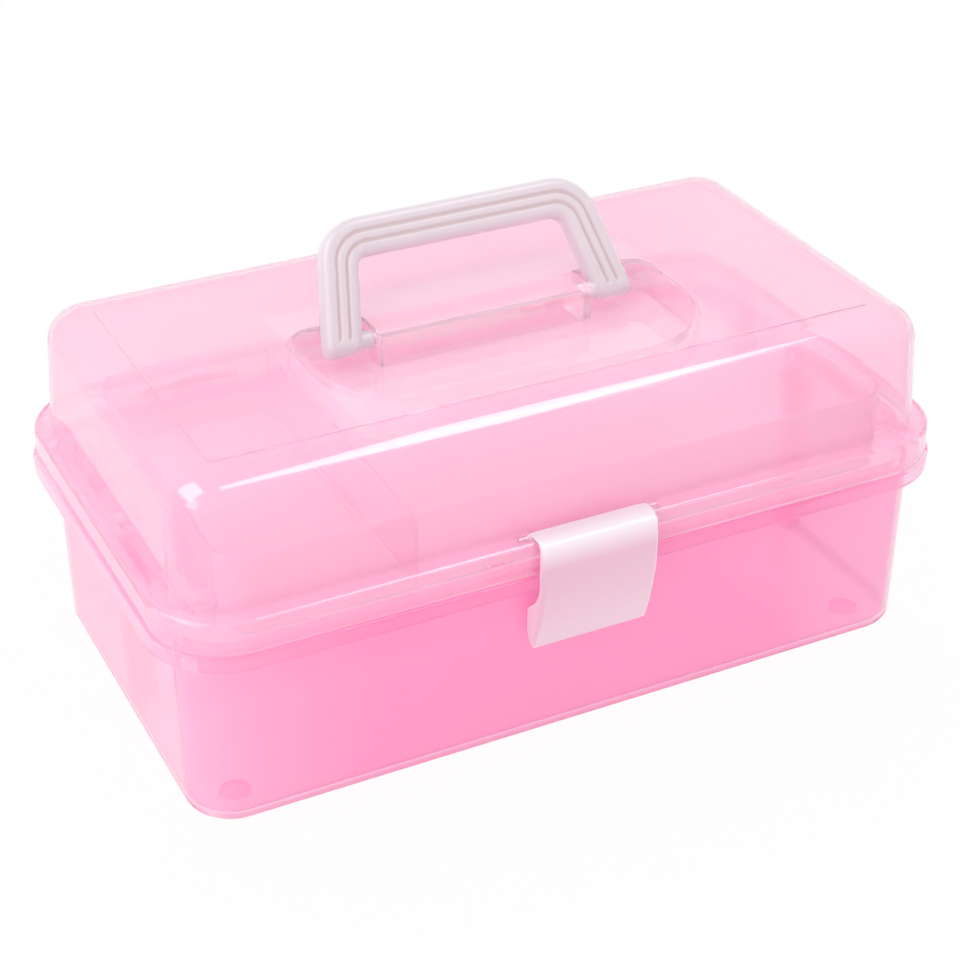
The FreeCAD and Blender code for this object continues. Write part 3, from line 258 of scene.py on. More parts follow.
def handling_marks_group():
    """Mask of faint rubbed patches and hairline scratches from use."""
    group, b, start, end = new_group(
        "Handling marks",
        [("Patch size", "NodeSocketFloat", 14.0), ("Scratch size", "NodeSocketFloat", 60.0),
         ("Amount", "NodeSocketFloat", 0.5)],
        [("Mask", "NodeSocketFloat")],
    )
    place = b.node("ShaderNodeTexCoord").outputs["Object"]
    patch = b.node("ShaderNodeTexNoise", Vector=place, Scale=start.outputs["Patch size"],
                   Detail=4.0, Roughness=0.6)
    turned = b.node("ShaderNodeMapping", Vector=place, Rotation=(0.3, 0.5, 0.8),
                    Scale=(1.0, 14.0, 1.0))
    scratch = b.node("ShaderNodeTexNoise", Vector=turned.outputs[0],
                     Scale=start.outputs["Scratch size"], Detail=3.0)
    rubbed = b.span(patch.outputs[0], 0.48, 0.75)
    lines = b.span(scratch.outputs[0], 0.66, 0.74)
    both = b.math("MAXIMUM", rubbed, b.math("MULTIPLY", lines, 0.7))
    b.feed(end, "Mask", b.math("MULTIPLY", both, start.outputs["Amount"]))
    return group


def flow_tint_group():
    """A colour that drifts a little over the surface, as melt does where it cooled unevenly."""
    group, b, start, end = new_group(
        "Flow tint",
        [("Colour", "NodeSocketColor", (1, 1, 1, 1)), ("Drift", "NodeSocketColor", (1, 1, 1, 1)),
         ("Size", "NodeSocketFloat", 7.0)],
        [("Colour", "NodeSocketColor")],
    )
    place = b.node("ShaderNodeTexCoord").outputs["Object"]
    drift = b.node("ShaderNodeTexNoise", Vector=place, Scale=start.outputs["Size"], Detail=3.0)
    share = b.span(drift.outputs[0], 0.3, 0.7)
    b.feed(end, "Colour", b.blend(share, start.outputs["Colour"], start.outputs["Drift"]))
    return group


def region_group():
    """Mask of a block in object space: 1 inside it, falling to 0 over a soft border."""
    group, b, start, end = new_group(
        "Region",
        [("Middle", "NodeSocketVector", (0, 0, 0)), ("Half size", "NodeSocketVector", (1, 1, 1)),
         ("Border", "NodeSocketFloat", 0.005)],
        [("Mask", "NodeSocketFloat")],
    )
    place = b.node("ShaderNodeTexCoord").outputs["Object"]
    away = b.node("ShaderNodeVectorMath", {"operation": "SUBTRACT"}, n0=place,
                  n1=start.outputs["Middle"]).outputs[0]
    away = b.node("ShaderNodeVectorMath", {"operation": "ABSOLUTE"}, n0=away).outputs[0]
    past = b.node("ShaderNodeVectorMath", {"operation": "SUBTRACT"}, n0=away,
                  n1=start.outputs["Half size"]).outputs[0]
    parts = b.node("ShaderNodeSeparateXYZ", Vector=past).outputs
    most = b.math("MAXIMUM", b.math("MAXIMUM", parts[0], parts[1]), parts[2])
    into_border = b.math("DIVIDE", most, start.outputs["Border"], True)
    b.feed(end, "Mask", b.math("SUBTRACT", 1.0, into_border, True))
    return group


GROUP_MAKERS = {
    "Moulded skin": moulded_skin_group,
    "Handling marks": handling_marks_group,
    "Flow tint": flow_tint_group,
    "Region": region_group,
}


def use_group(b, name, **inputs):
    """Place a shared effect in a material with its own values."""
    tree = bpy.data.node_groups.get(name) or GROUP_MAKERS[name]()
    item = b.tree.nodes.new("ShaderNodeGroup")
    item.node_tree = tree
    for key, value in inputs.items():
        b.feed(item, key.replace("_", " "), value)
    return item


def new_material(name):
    """An empty material with its output node."""
    material = bpy.data.materials.new(name)
    material.use_nodes = True
    material.node_tree.nodes.clear()
    b = Tree(material.node_tree)
    return material, b, b.node("ShaderNodeOutputMaterial")


def bump(b, height, distance):
    """A normal bent by a height, in metres."""
    return b.node("ShaderNodeBump", Height=height, Distance=distance, Strength=1.0).outputs[0]


def around(b, block, inside):
    """Mask of a Region block, given as (middle, half size, border), or of all outside it."""
    middle, half, border = block
    mask = use_group(b, "Region", Middle=middle, Half_size=half, Border=border).outputs[0]
    return mask if inside else b.math("SUBTRACT", 1.0, mask)


WHITE = (1.0, 1.0, 1.0)
COAT, COAT_ROUGHNESS = 0.8, 0.06
# powers of a wall's tint: where it is seen edge on, and for the light of the lamps
EDGE_ON_POWER, LAMP_POWER = 3.0, 0.25
# light that has met more surfaces than this is let out of the walls
MOST_SURFACES = 5.5
# wide enough to reach past the case on either side, in metres
ENDLESS = 1.0


def tinted_plastic(name, tint, body, haze, frost, ior, painted_light=None, edge=None, coat=COAT):
    """Tinted see-through plastic: a clear wall, deeper in colour where it is seen edge on, with a
    share of scattering haze under a thin coat. Lamp light passes through it, and light that has run
    on inside the walls for long is let out. The painted-light argument is (block, share, inside):
    inside or outside that block the colours go that share of the way to white, painted light that
    makes the wall look lit. edge, a painted shade, is (height, half size in X, half size in Y,
    colour): below the height and outside the sizes the colour deepens the plastic, and the coat
    ends."""
    material, b, end = new_material(name)
    skin = use_group(b, "Moulded skin", Wave_size=22.0, Wave_height=0.35, Grain_height=0.001)
    marks = use_group(b, "Handling marks", Amount=0.05)
    drift = tuple(min(1.0, c * 0.97 + 0.01) for c in tint)
    flow = use_group(b, "Flow tint", Colour=tint, Drift=drift)
    edge_on = b.node("ShaderNodeLayerWeight", Blend=0.35).outputs["Facing"]
    deep = tuple(c ** EDGE_ON_POWER for c in tint)
    through, paint = b.blend(b.span(edge_on, 0.25, 1.0), flow.outputs[0], deep), body
    # painted light: the colours go part of the way to white inside or outside a block
    if painted_light:
        block, share, inside = painted_light
        thin = b.math("MULTIPLY", around(b, block, inside), share)
        through, paint = b.blend(thin, through, WHITE), b.blend(thin, paint, WHITE)
    # painted shade: the colours deepen along a low edge, where the coat also ends
    if edge:
        height, half_x, half_y, painted_shade = edge
        low = around(b, ((0.0, 0.0, 0.0), (ENDLESS, ENDLESS, height), 0.0015), True)
        rim = around(b, ((0.0, 0.0, 0.0), (half_x, half_y, ENDLESS), 0.004), False)
        rim = b.math("MULTIPLY", low, rim)
        through = b.blend(rim, through, painted_shade, "MULTIPLY")
        paint = b.blend(rim, paint, painted_shade, "MULTIPLY")
        coat = b.math("MULTIPLY", b.math("SUBTRACT", 1.0, rim), coat)
    rough = b.math("ADD", marks.outputs[0], frost)
    common = dict(Roughness=rough, Normal=bump(b, skin.outputs[0], 0.0004), IOR=ior,
                  Coat_Weight=coat, Coat_Roughness=COAT_ROUGHNESS)
    clear = b.node("ShaderNodeBsdfPrincipled", Base_Color=through, Transmission_Weight=1.0,
                   **common)
    milk = b.node("ShaderNodeBsdfPrincipled", Base_Color=paint, **common)
    solid = b.node("ShaderNodeMixShader", n0=haze, n1=clear.outputs[0], n2=milk.outputs[0])
    path = b.node("ShaderNodeLightPath")
    lamp = b.node("ShaderNodeBsdfTransparent", Color=tuple(c ** LAMP_POWER for c in tint))
    lit = b.node("ShaderNodeMixShader", n0=path.outputs["Is Shadow Ray"], n1=solid.outputs[0],
                 n2=lamp.outputs[0])
    trapped = b.math("GREATER_THAN", path.outputs["Ray Depth"], MOST_SURFACES)
    leave = b.node("ShaderNodeBsdfTransparent", Color=tint)
    out = b.node("ShaderNodeMixShader", n0=trapped, n1=lit.outputs[0], n2=leave.outputs[0])
    b.feed(end, "Surface", out.outputs[0])
    return material


def white_plastic(name, base, shade, edge, rough=0.34, painted_light=None, line=None):
    """Solid satin plastic with a faint drift of tone, fine grain and rubbed patches, paler where it
    is seen edge on, as light comes through it there. The painted-light argument is (height, border,
    colour): above the height it has that lighter colour, a painted highlight. line is the colour of
    the painted shade in grooves."""
    material, b, end = new_material(name)
    skin = use_group(b, "Moulded skin", Wave_size=40.0, Wave_height=0.12, Grain_height=0.04)
    marks = use_group(b, "Handling marks", Amount=0.015)
    tone = use_group(b, "Flow tint", Colour=base, Drift=shade, Size=16.0)
    edge_on = b.node("ShaderNodeLayerWeight", Blend=0.4).outputs["Facing"]
    paint = b.blend(b.span(edge_on, 0.15, 0.75), tone.outputs[0], edge)
    # painted shade in the grooves, carried by the groove attribute
    if line:
        groove = b.node("ShaderNodeAttribute", {"attribute_name": "groove"}).outputs["Fac"]
        paint = b.blend(groove, paint, line)
    # painted highlight: a lighter colour above a height
    if painted_light:
        height, border, painted_highlight = painted_light
        middle = (0.0, 0.0, height + ENDLESS / 2)
        above = around(b, (middle, (ENDLESS, ENDLESS, ENDLESS / 2), border), True)
        paint = b.blend(above, paint, painted_highlight)
    shader = b.node("ShaderNodeBsdfPrincipled", Base_Color=paint,
                    Roughness=b.math("ADD", marks.outputs[0], rough),
                    Normal=bump(b, skin.outputs[0], 0.0002), IOR=1.47)
    b.feed(end, "Surface", shader.outputs[0])
    return material


def drawn_wire(name):
    """Drawn steel wire with fine rings round its length."""
    material, b, end = new_material(name)
    place = b.node("ShaderNodeTexCoord").outputs["Object"]
    rings = b.node("ShaderNodeTexWave", {"bands_direction": "X"}, Vector=place, Scale=900.0,
                   Distortion=1.5)
    rough = b.span(rings.outputs[1], 0.0, 1.0, 0.22, 0.38)
    shader = b.node("ShaderNodeBsdfPrincipled", Base_Color=(0.72, 0.72, 0.73), Metallic=1.0,
                    Roughness=rough, Normal=bump(b, rings.outputs[1], 0.00002))
    b.feed(end, "Surface", shader.outputs[0])
    return material


def dress(starts, material):
    """Give the carried-over nodes whose names start in one of these ways their material."""
    for name, node in NODES.items():
        if name.startswith(starts):
            node.data.materials.clear()
            node.data.materials.append(material)


# ------------------------------------------------------------------------------------------------
# Shapes
# ------------------------------------------------------------------------------------------------

# points on each rounded corner, and on a ring turned about an axis
CORNER_POINTS, RING_POINTS = 9, 40
# chamfer of a bored cylinder, in millimetres
CHAMFER = 0.25
# edges that bend by more than this many degrees stay sharp
SHARP_ANGLE = 32.0
# a length taken as none, against division by zero, and the least step between a line's points
TINY, LEAST_STEP = 1e-9, 1e-6


def unit(vectors):
    """Vectors scaled to length 1; those without length stay 0."""
    return vectors / np.maximum(np.linalg.norm(vectors, axis=1, keepdims=True), TINY)


def softened(corners, reach, closed=True):
    """A line with its corners rounded: each corner B becomes (1-t)^2 A + 2t(1-t) B + t^2 C, where A
    and C lie at the corner's reach from it on the two sides that meet there."""
    corners, reach = np.asarray(corners, float), np.asarray(reach, float)[:, None]
    before, after = np.roll(corners, 1, 0) - corners, np.roll(corners, -1, 0) - corners
    if not closed:
        before[0], after[-1] = 0.0, 0.0
    length = np.linalg.norm(before, axis=1, keepdims=True)
    start = corners + unit(before) * np.minimum(reach, length / 2)
    length = np.linalg.norm(after, axis=1, keepdims=True)
    end = corners + unit(after) * np.minimum(reach, length / 2)
    t = np.linspace(0.0, 1.0, CORNER_POINTS)[None, :, None]
    line = ((1 - t) ** 2 * start[:, None] + 2 * t * (1 - t) * corners[:, None]
            + t ** 2 * end[:, None]).reshape(-1, corners.shape[1])
    step = np.linalg.norm(np.roll(line, -1, 0) - line, axis=1)
    return line[step > LEAST_STEP] if closed else line


def inward(loop):
    """Unit normals of a closed flat loop, pointing to its inside: the direction from the point
    before to the point after, turned by a right angle, and turned round if the loop's area is
    negative because it runs clockwise."""
    along = unit(np.roll(loop, -1, 0) - np.roll(loop, 1, 0))
    area = (loop[:, 0] * np.roll(loop[:, 1], -1) - loop[:, 1] * np.roll(loop[:, 0], -1)).sum()
    return np.stack([-along[:, 1], along[:, 0]], axis=1) * (-1.0 if area < 0 else 1.0)


def tube(rings):
    """Points and faces of a closed skin over rings of equal count: quads between neighbouring rings
    and one flat face at each end."""
    count, size = rings.shape[:2]
    ring, point = np.meshgrid(np.arange(count - 1), np.arange(size), indexing="ij")
    near, far = ring * size + point, ring * size + (point + 1) % size
    quads = np.stack([near, far, far + size, near + size], axis=-1).reshape(-1, 4)
    caps = [list(range(size - 1, -1, -1)), list(range((count - 1) * size, count * size))]
    return rings.reshape(-1, 3), quads.tolist() + caps


def ring_tube(x, axis, outer, inner):
    """A bored cylinder along X: a loop in (x, radius) over the outer radius, with chamfers, and the
    inner one, turned about the axis at (y, z)."""
    low, high = x
    line = np.array([(low, inner), (low, outer - CHAMFER), (low + CHAMFER, outer),
                     (high - CHAMFER, outer), (high, outer - CHAMFER), (high, inner)])
    size = len(line)
    turn = np.linspace(0, 2 * math.pi, RING_POINTS, endpoint=False)[:, None]
    points = np.stack([np.broadcast_to(line[:, 0], (RING_POINTS, size)),
                       axis[0] + line[:, 1] * np.cos(turn),
                       axis[1] + line[:, 1] * np.sin(turn)], axis=-1)
    ring, point = np.meshgrid(np.arange(RING_POINTS), np.arange(size), indexing="ij")
    near, far = ring * size + point, ring * size + (point + 1) % size
    far_next, near_next = (far + size) % (RING_POINTS * size), (near + size) % (RING_POINTS * size)
    quads = np.stack([near, far, far_next, near_next], axis=-1)
    return points.reshape(-1, 3), quads.reshape(-1, 4).tolist()


def join(shells):
    """One list of points, in metres, and of faces for several closed shells, in millimetres."""
    points, faces, start = [], [], 0
    for shell_points, shell_faces in shells:
        points.append(shell_points)
        faces += [[start + number for number in face] for face in shell_faces]
        start += len(shell_points)
    return np.concatenate(points) * MM, faces


def make_piece(name, shells, body, material, groove=()):
    """A piece at the origin from closed shells, smooth but for its sharp edges. A groove value for
    each point, as far as given, goes into the attribute of that name, which masks painted shade."""
    mesh = bpy.data.meshes.new(name)
    points, faces = join(shells)
    mesh.from_pydata(points.tolist(), [], faces)
    build = bmesh.new()
    build.from_mesh(mesh)
    bmesh.ops.recalc_face_normals(build, faces=build.faces)
    build.to_mesh(mesh)
    build.free()
    mesh.shade_smooth()
    mesh.set_sharp_from_angle(angle=math.radians(SHARP_ANGLE))
    mesh.materials.append(material)
    if len(groove):
        values = np.zeros(len(mesh.vertices), np.float32)
        values[:len(groove)] = groove
        mesh.attributes.new("groove", "FLOAT", "POINT").data.foreach_set("value", values)
    piece = bpy.data.objects.new(name, mesh)
    bpy.context.scene.collection.objects.link(piece)
    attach(piece, body)
    return piece


# side view of the latch: depth, height and rounding at each corner, from the roof's back round by
# the front, the lower edge, the heel and the cheek's line past the rim
LATCH_SIDE = [
    (-87.6, 95.95, 0.3), (-93.9, 96.95, 2.6), (-98.40, 95.75, 1.5), (-99.40, 88.0, 4.0),
    (-99.38, 77.0, 5.2), (-97.8, 66.5, 5.2), (-95.3, 57.0, 4.8), (-92.1, 47.5, 0.5),
    (-90.7, 46.5, 1.2), (-86.3, 50.4, 3.2), (-86.3, 61.8, 2.4), (-94.2, 69.6, 3.6),
    (-95.6, 74.4, 2.0), (-95.6, 92.9, 0.7), (-94.7, 95.4, 0.4), (-87.6, 95.4, 0.2),
]
# how many of its corners, from the first, make the roof and the front
LATCH_FRONT = 8
LATCH_AXIS = (-87.6, 93.6)
# the cheeks' rounding is least behind CHEEK_BACK and grows to full over CHEEK_FADE forwards; below
# HEEL_TOP it is at least HEEL_EDGE
CHEEK_BACK, CHEEK_FADE, CHEEK_LEAST = -94.5, 2.0, 0.1
HEEL_TOP, HEEL_EDGE = 62.0, 1.0
# the roof's wall is a ROOF_LEAST share of the front's behind ROOF_BACK and grows to it forwards
ROOF_BACK, ROOF_FADE, ROOF_LEAST = -88.4, 2.0, 0.3
# the barrel's distance from the latch's ends, and the rings over a cheek's edge and over the front
BARREL_GAP = 0.05
CHEEK_RINGS, FRONT_RINGS = 7, 9


def latch_shells(s):
    """The latch: two cheeks, each the side view carried along X and drawn in by
    r (1 - sqrt(1 - (1 - d/r)^2)) at a distance d from its outer face; a front carried between them,
    whose inside is the side view's front line moved in by the wall; and a bored barrel."""
    side = np.array(LATCH_SIDE)
    loop = softened(side[:, :2], side[:, 2])
    into = inward(loop)
    forward = np.clip((CHEEK_BACK - loop[:, 0]) / CHEEK_FADE, 0, 1)
    edge = forward * (s.edge - CHEEK_LEAST) + CHEEK_LEAST
    edge = np.where(loop[:, 1] < HEEL_TOP, np.maximum(edge, HEEL_EDGE), edge)
    shells = []
    for end, inner_x in ((s.left, s.left + s.wall), (s.right, s.right - s.wall)):
        rings = []
        for turn in np.linspace(0.0, math.pi / 2, CHEEK_RINGS):
            flat = loop + into * (edge * (1 - math.sin(turn)))[:, None]
            x = end + math.copysign(1.0, inner_x - end) * edge * (1 - math.cos(turn))
            rings.append(np.column_stack([x, flat]))
        rings.append(np.column_stack([np.full(len(loop), inner_x), loop]))
        shells.append(tube(np.array(rings)))
    front = softened(side[:LATCH_FRONT, :2], side[:LATCH_FRONT, 2], closed=False)
    along = unit(np.gradient(front, axis=0))
    across = np.stack([-along[:, 1], along[:, 0]], axis=1)
    thin = np.clip((ROOF_BACK - front[:, 0]) / ROOF_FADE, ROOF_LEAST, 1.0)
    inside = (front + across * (thin * s.wall)[:, None])[::-1]
    profile = np.concatenate([front, inside])
    ends = [np.column_stack([np.full(len(profile), x), profile])
            for x in np.linspace(s.left + s.wall, s.right - s.wall, FRONT_RINGS)]
    shells.append(tube(np.array(ends)))
    shells.append(ring_tube((s.left + BARREL_GAP, s.right - BARREL_GAP), LATCH_AXIS, s.barrel,
                            s.bore))
    return shells


# the rim tab: how far its sides sink into the rim, the depth of its back, its bevel in height and
# in degrees, and the points across it
TAB_SINK, TAB_BACK, TAB_BEVEL, TAB_TURN, TAB_POINTS = 0.3, 0.6, 0.3, 0.5, 12


def rim_tab_shells(s):
    """A thin plate on the rim's front left corner: an arc of the rim's outside, proud by the
    plate's thickness, whose borders sink into the rim."""
    lean = np.radians(np.array([s.start, s.start + TAB_TURN, s.end - TAB_TURN, s.end]))
    proud = np.array([-TAB_SINK, s.proud, s.proud, -TAB_SINK])
    height = np.array([s.low, s.low + TAB_BEVEL, s.high - TAB_BEVEL, s.high])
    angle = np.interp(np.linspace(0, 1, TAB_POINTS), np.linspace(0, 1, 4), lean)
    rings = []
    for z, share in zip(height, (0.0, 1.0, 1.0, 0.0)):
        out = np.interp(angle, lean, proud) * share - TAB_SINK * (1 - share)
        sides = []
        for radius, turn in ((s.rim + out, angle), (s.rim - TAB_BACK, angle[::-1])):
            sides.append(np.column_stack([s.middle_x - radius * np.cos(turn),
                                          s.middle_y - radius * np.sin(turn),
                                          np.full(TAB_POINTS, z)]))
        rings.append(np.concatenate(sides))
    return [tube(np.array(rings))]


# the handle, in millimetres: distance of each groove from the outer side
GROOVES = (5.8, 10.0)
# stations on each leg and arc of the bow, and how much closer they stand towards the foot
BOW_POINTS, LEG_POWER = 16, 1.6
# points over the section's front, the step between those kept on its back, and on a long edge
FRONT_POINTS, BACK_STEP, EDGE_POINTS = 90, 6, 10
# stations over a foot's rounding, and over a length beyond it; a gap follows before the others
FOOT_POINTS, BEYOND_POINTS, BEYOND, BEYOND_GAP = 9, 8, 5.0, 0.2
# a groove begins at this distance past a foot's rounding and is full after this length
GROOVE_START, GROOVE_FADE = 0.8, 1.6
# the two bosses that ride on the handle's pins: their ends, radius and bore
BOSS_ENDS, BOSS_RADIUS, BOSS_BORE = (46.0, 53.6), 3.4, 2.02


def bow_line(s, inset, bend):
    """A line along the handle's bow at a distance inside its outline: straight legs and a bar,
    joined by arcs of a radius."""
    low, top = -s.thick / 2, s.reach - inset
    foot, high = s.foot - inset - s.taper * low, s.foot - inset - s.taper * top
    lean = math.atan(s.taper)
    back = bend * math.tan((math.pi / 2 - lean) / 2)
    middle = np.array([high - back, top - bend])
    angle = np.linspace(lean, math.pi / 2, BOW_POINTS)[:, None]
    arc = middle + bend * np.hstack([np.cos(angle), np.sin(angle)])
    share = np.linspace(0.0, 1.0, BOW_POINTS)[:, None] ** LEG_POWER
    leg = np.array([foot, low]) * (1 - share[:-1]) + arc[0] * share[:-1]
    right = np.concatenate([leg, arc])
    return np.concatenate([right, (right * [-1, 1])[::-1]])


def bow_section(s):
    """Across the bow: a rounded rectangle whose front and back rise by crown (1 - q^2) at a share q
    of the half width. Also how far each point lies in a groove: exp(-((q - q0) / width)^2)."""
    half_w, half_t, e = s.wide / 2, s.thick / 2, s.edge
    q = np.linspace(1 - e / half_w, e / half_w - 1, FRONT_POINTS)
    front = np.column_stack([q * half_w, np.full(len(q), half_t)])
    q = q[::-BACK_STEP]
    back = np.column_stack([q * half_w, np.full(len(q), -half_t)])
    turn = np.linspace(0.0, math.pi / 2, EDGE_POINTS)[1:-1, None]

    def corner(sign_w, sign_t, start):
        angle = start + turn
        middle = np.array([sign_w * (half_w - e), sign_t * (half_t - e)])
        return middle + e * np.hstack([np.cos(angle), np.sin(angle)])

    loop = np.concatenate([corner(1, 1, 0.0), front, corner(-1, 1, math.pi / 2),
                           corner(-1, -1, math.pi), back, corner(1, -1, 1.5 * math.pi)])
    across = loop[:, 0] / half_w
    face = loop[:, 1] > 0
    loop[:, 1] += np.where(face, 1, -1) * s.crown * (1 - across ** 2)
    groove = np.zeros(len(loop))
    for from_outside in GROOVES:
        place = 1 - 2 * from_outside / s.wide
        groove += np.exp(-((across - place) * half_w / s.groove_wide) ** 2) * face
    return loop, groove


def bow_stations(s, outer, inner):
    """The bow's two lines with more stations at the feet, and the distance of each station from the
    nearer foot's end, along the middle line."""
    middle = (outer + inner) / 2
    run = np.concatenate([[0.0], np.cumsum(np.linalg.norm(np.diff(middle, axis=0), axis=1))])
    to_end = np.minimum(run, run[-1] - run)
    r = s.foot_round
    extra = np.concatenate([r * (1 - np.cos(np.linspace(0.0, math.pi / 2, FOOT_POINTS))),
                            np.linspace(r, r + BEYOND, BEYOND_POINTS)[1:]])
    kept = run[to_end > r + BEYOND + BEYOND_GAP]
    place = np.unique(np.concatenate([extra, kept, run[-1] - extra]))
    outer, inner = (np.column_stack([np.interp(place, run, line[:, k]) for k in (0, 1)])
                    for line in (outer, inner))
    return outer, inner, np.minimum(place, place[-1] - place)


def handle_shells(s):
    """The handle: a section carried along the bow between its outer and inner lines, with grooves
    cut into its front. At a distance d from a foot's end it is drawn in as a quarter circle, by
    r - sqrt(r^2 - (r - d)^2), and the grooves fade out before it. Two bored bosses lie on the axis.
    Also returned: how far each point of the first shell lies in a groove."""
    outer, inner, to_end = bow_stations(s, bow_line(s, 0.0, s.bend),
                                        bow_line(s, s.wide, s.bend_in))
    loop, groove = bow_section(s)
    half_w, half_t, r = s.wide / 2, s.thick / 2, s.foot_round
    draw_in = r - np.sqrt(np.maximum(r ** 2 - np.maximum(r - to_end, 0.0) ** 2, 0.0))
    share = np.clip((to_end - r - GROOVE_START) / GROOVE_FADE, 0.0, 1.0)
    groove = groove[None, :] * (share * share * (3 - 2 * share))[:, None]
    centre, reach = (outer + inner) / 2, (outer - inner) / 2
    w = loop[None, :, 0] / half_w * (1 - draw_in / half_w)[:, None]
    t = (loop[None, :, 1] - s.groove_deep * groove) * (1 - draw_in / half_t)[:, None]
    flat = centre[:, None] + reach[:, None] * w[..., None]
    shells = [tube(np.concatenate([flat, t[..., None]], axis=-1))]
    for side in (-1, 1):
        points, faces = ring_tube(BOSS_ENDS, (0.0, 0.0), BOSS_RADIUS, BOSS_BORE)
        shells.append((points * [side, 1, 1], faces))
    angle = math.radians(90 - s.lean)
    turned = []
    for points, faces in shells:
        x, y, z = points.T
        depth = s.axis_y + y * math.cos(angle) - z * math.sin(angle)
        height = s.axis_z + y * math.sin(angle) + z * math.cos(angle)
        turned.append((np.column_stack([x, depth, height]), faces))
    # the groove values go on to mask the painted shade in the grooves
    return turned, groove.ravel()


# ------------------------------------------------------------------------------------------------
# Operators
# ------------------------------------------------------------------------------------------------

# as tinted_plastic takes them: painted light that makes the tub's ends paler, painted shade that
# deepens the tub's lower edge, painted light that makes the lid's recess paler
TUB_ENDS_PAINTED_LIGHT = (((0.0, 0.0, 0.05), (0.085, 0.2, 0.1), 0.075), 0.30, False)
TUB_LOWER_EDGE_PAINTED_SHADE = (0.005, 0.149, 0.079, (0.90, 0.68, 0.76))
LID_RECESS_PAINTED_LIGHT = (((0.0, -0.015, 0.132), (0.078, 0.044, 0.0095), 0.002), 0.7, True)
TAB_TINT, TAB_BODY, TAB_HAZE = (1.0, 0.86, 0.94), (1.0, 0.76, 0.88), 0.35
FOOT_TINT, FOOT_BODY, FOOT_HAZE, FOOT_IOR = (1.0, 0.99, 0.995), (1.0, 0.95, 0.98), 0.03, 1.02
HANDLE_DRIFT, HANDLE_EDGE = (0.80, 0.70, 0.755), (0.87, 0.80, 0.86)
# colour of the painted shade in the handle's grooves
HANDLE_GROOVE_PAINTED_SHADE = (0.71, 0.565, 0.575)
LATCH_DRIFT, LATCH_EDGE, LATCH_ROUGHNESS = (0.84, 0.51, 0.64), (0.97, 0.84, 0.91), 0.26
# painted highlight on the latch's roof: the roof's height, the border of the colour and the lighter
# colour
LATCH_ROOF_PAINTED_HIGHLIGHT = (0.0956, 0.010, (0.97, 0.89, 0.94))


class CASE_OT_shells(bpy.types.Operator):
    """Finish the tinted mouldings: tub, lid, tray, divider, arms and feet"""

    bl_idname = "case.shells"
    bl_label = "Tinted mouldings"

    def execute(self, context):
        s = context.scene.case_shell
        # painted light on the tub's ends and in the lid's recess, painted shade on the tub's lower
        # edge
        tub = tinted_plastic("Tub plastic", tuple(s.tub_tint), tuple(s.tub_body), s.tub_haze,
                             s.tub_frost, s.tub_ior, painted_light=TUB_ENDS_PAINTED_LIGHT, edge=TUB_LOWER_EDGE_PAINTED_SHADE)
        lid = tinted_plastic("Lid plastic", tuple(s.lid_tint), tuple(s.lid_body), s.lid_haze,
                             s.frost, s.lid_ior, painted_light=LID_RECESS_PAINTED_LIGHT)
        tray = tinted_plastic("Tray plastic", tuple(s.tray_tint), tuple(s.tray_body),
                              s.tray_haze, s.frost, s.lid_ior)
        tab = tinted_plastic("Tab plastic", TAB_TINT, TAB_BODY, TAB_HAZE, s.frost, s.lid_ior)
        pad = tinted_plastic("Foot plastic", FOOT_TINT, FOOT_BODY, FOOT_HAZE, s.frost, FOOT_IOR,
                             coat=0.0)
        dress("tub", tub)
        dress("lid", lid)
        dress(("tray", "divider", "arm_left", "arm_right", "hanger_pin"), tray)
        dress("foot", pad)
        make_piece("Rim_tab", rim_tab_shells(context.scene.case_tab), "base", tab)
        return {"FINISHED"}


class CASE_OT_trim(bpy.types.Operator):
    """Finish the solid parts: handle, latch and pins"""

    bl_idname = "case.trim"
    bl_label = "Handle, latch and pins"

    def execute(self, context):
        t = context.scene.case_trim
        # painted shade in the handle's grooves, a painted highlight on the latch's roof
        grip = white_plastic("Handle plastic", tuple(t.handle_colour), HANDLE_DRIFT, HANDLE_EDGE,
                             line=HANDLE_GROOVE_PAINTED_SHADE)
        catch = white_plastic("Latch plastic", tuple(t.latch_colour), LATCH_DRIFT, LATCH_EDGE,
                              LATCH_ROUGHNESS, painted_light=LATCH_ROOF_PAINTED_HIGHLIGHT)
        dress(("handle", "arm_pin"), grip)
        dress("latch", catch)
        dress(("hinge_pin", "latch_pin"), drawn_wire("Wire"))
        shells, groove = handle_shells(context.scene.case_handle)
        bow = make_piece("Handle_bow", shells, "handle", grip, groove=groove)
        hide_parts("handle")
        shells = latch_shells(context.scene.case_latch)
        cover = make_piece("Latch_cover", shells, "latch", catch)
        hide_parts("latch")
        return {"FINISHED"}


class CASE_OT_stage(bpy.types.Operator):
    """Make the floor, the world, the lamps and the camera"""

    bl_idname = "case.stage"
    bl_label = "Stage"

    def execute(self, context):
        s = context.scene.case_stage
        make_floor()
        make_world(context.scene, s.world_light)
        for name, place, size, power, diffuse in LAMPS:
            make_lamp(name, place, size, power, diffuse)
        make_camera(context.scene, s.focal)
        return {"FINISHED"}


# name, place, size, watts and whether it lights matt surfaces, of each area lamp, in metres
LAMPS = [
    ("Front box", (0.47, -0.22, 1.30), (0.70, 0.42), 6.5, False),
    ("Left box", (-1.03, 0.07, 1.30), (1.15, 1.15), 20.0, False),
    ("Side box", (-1.6, -0.7, 0.9), (0.8, 0.8), 5.0, True),
]
# the point that the lamps face
LAMP_AIM = (0.0, 0.0, 0.08)
CAMERA_PLACE = (-0.33880, -0.67821, 0.52501)
CAMERA_TURN, CAMERA_RISE, CAMERA_ROLL = -26.49, 31.29, 0.14
SENSOR_WIDTH = 36.0
CLIP_START, CLIP_END = 0.01, 50.0
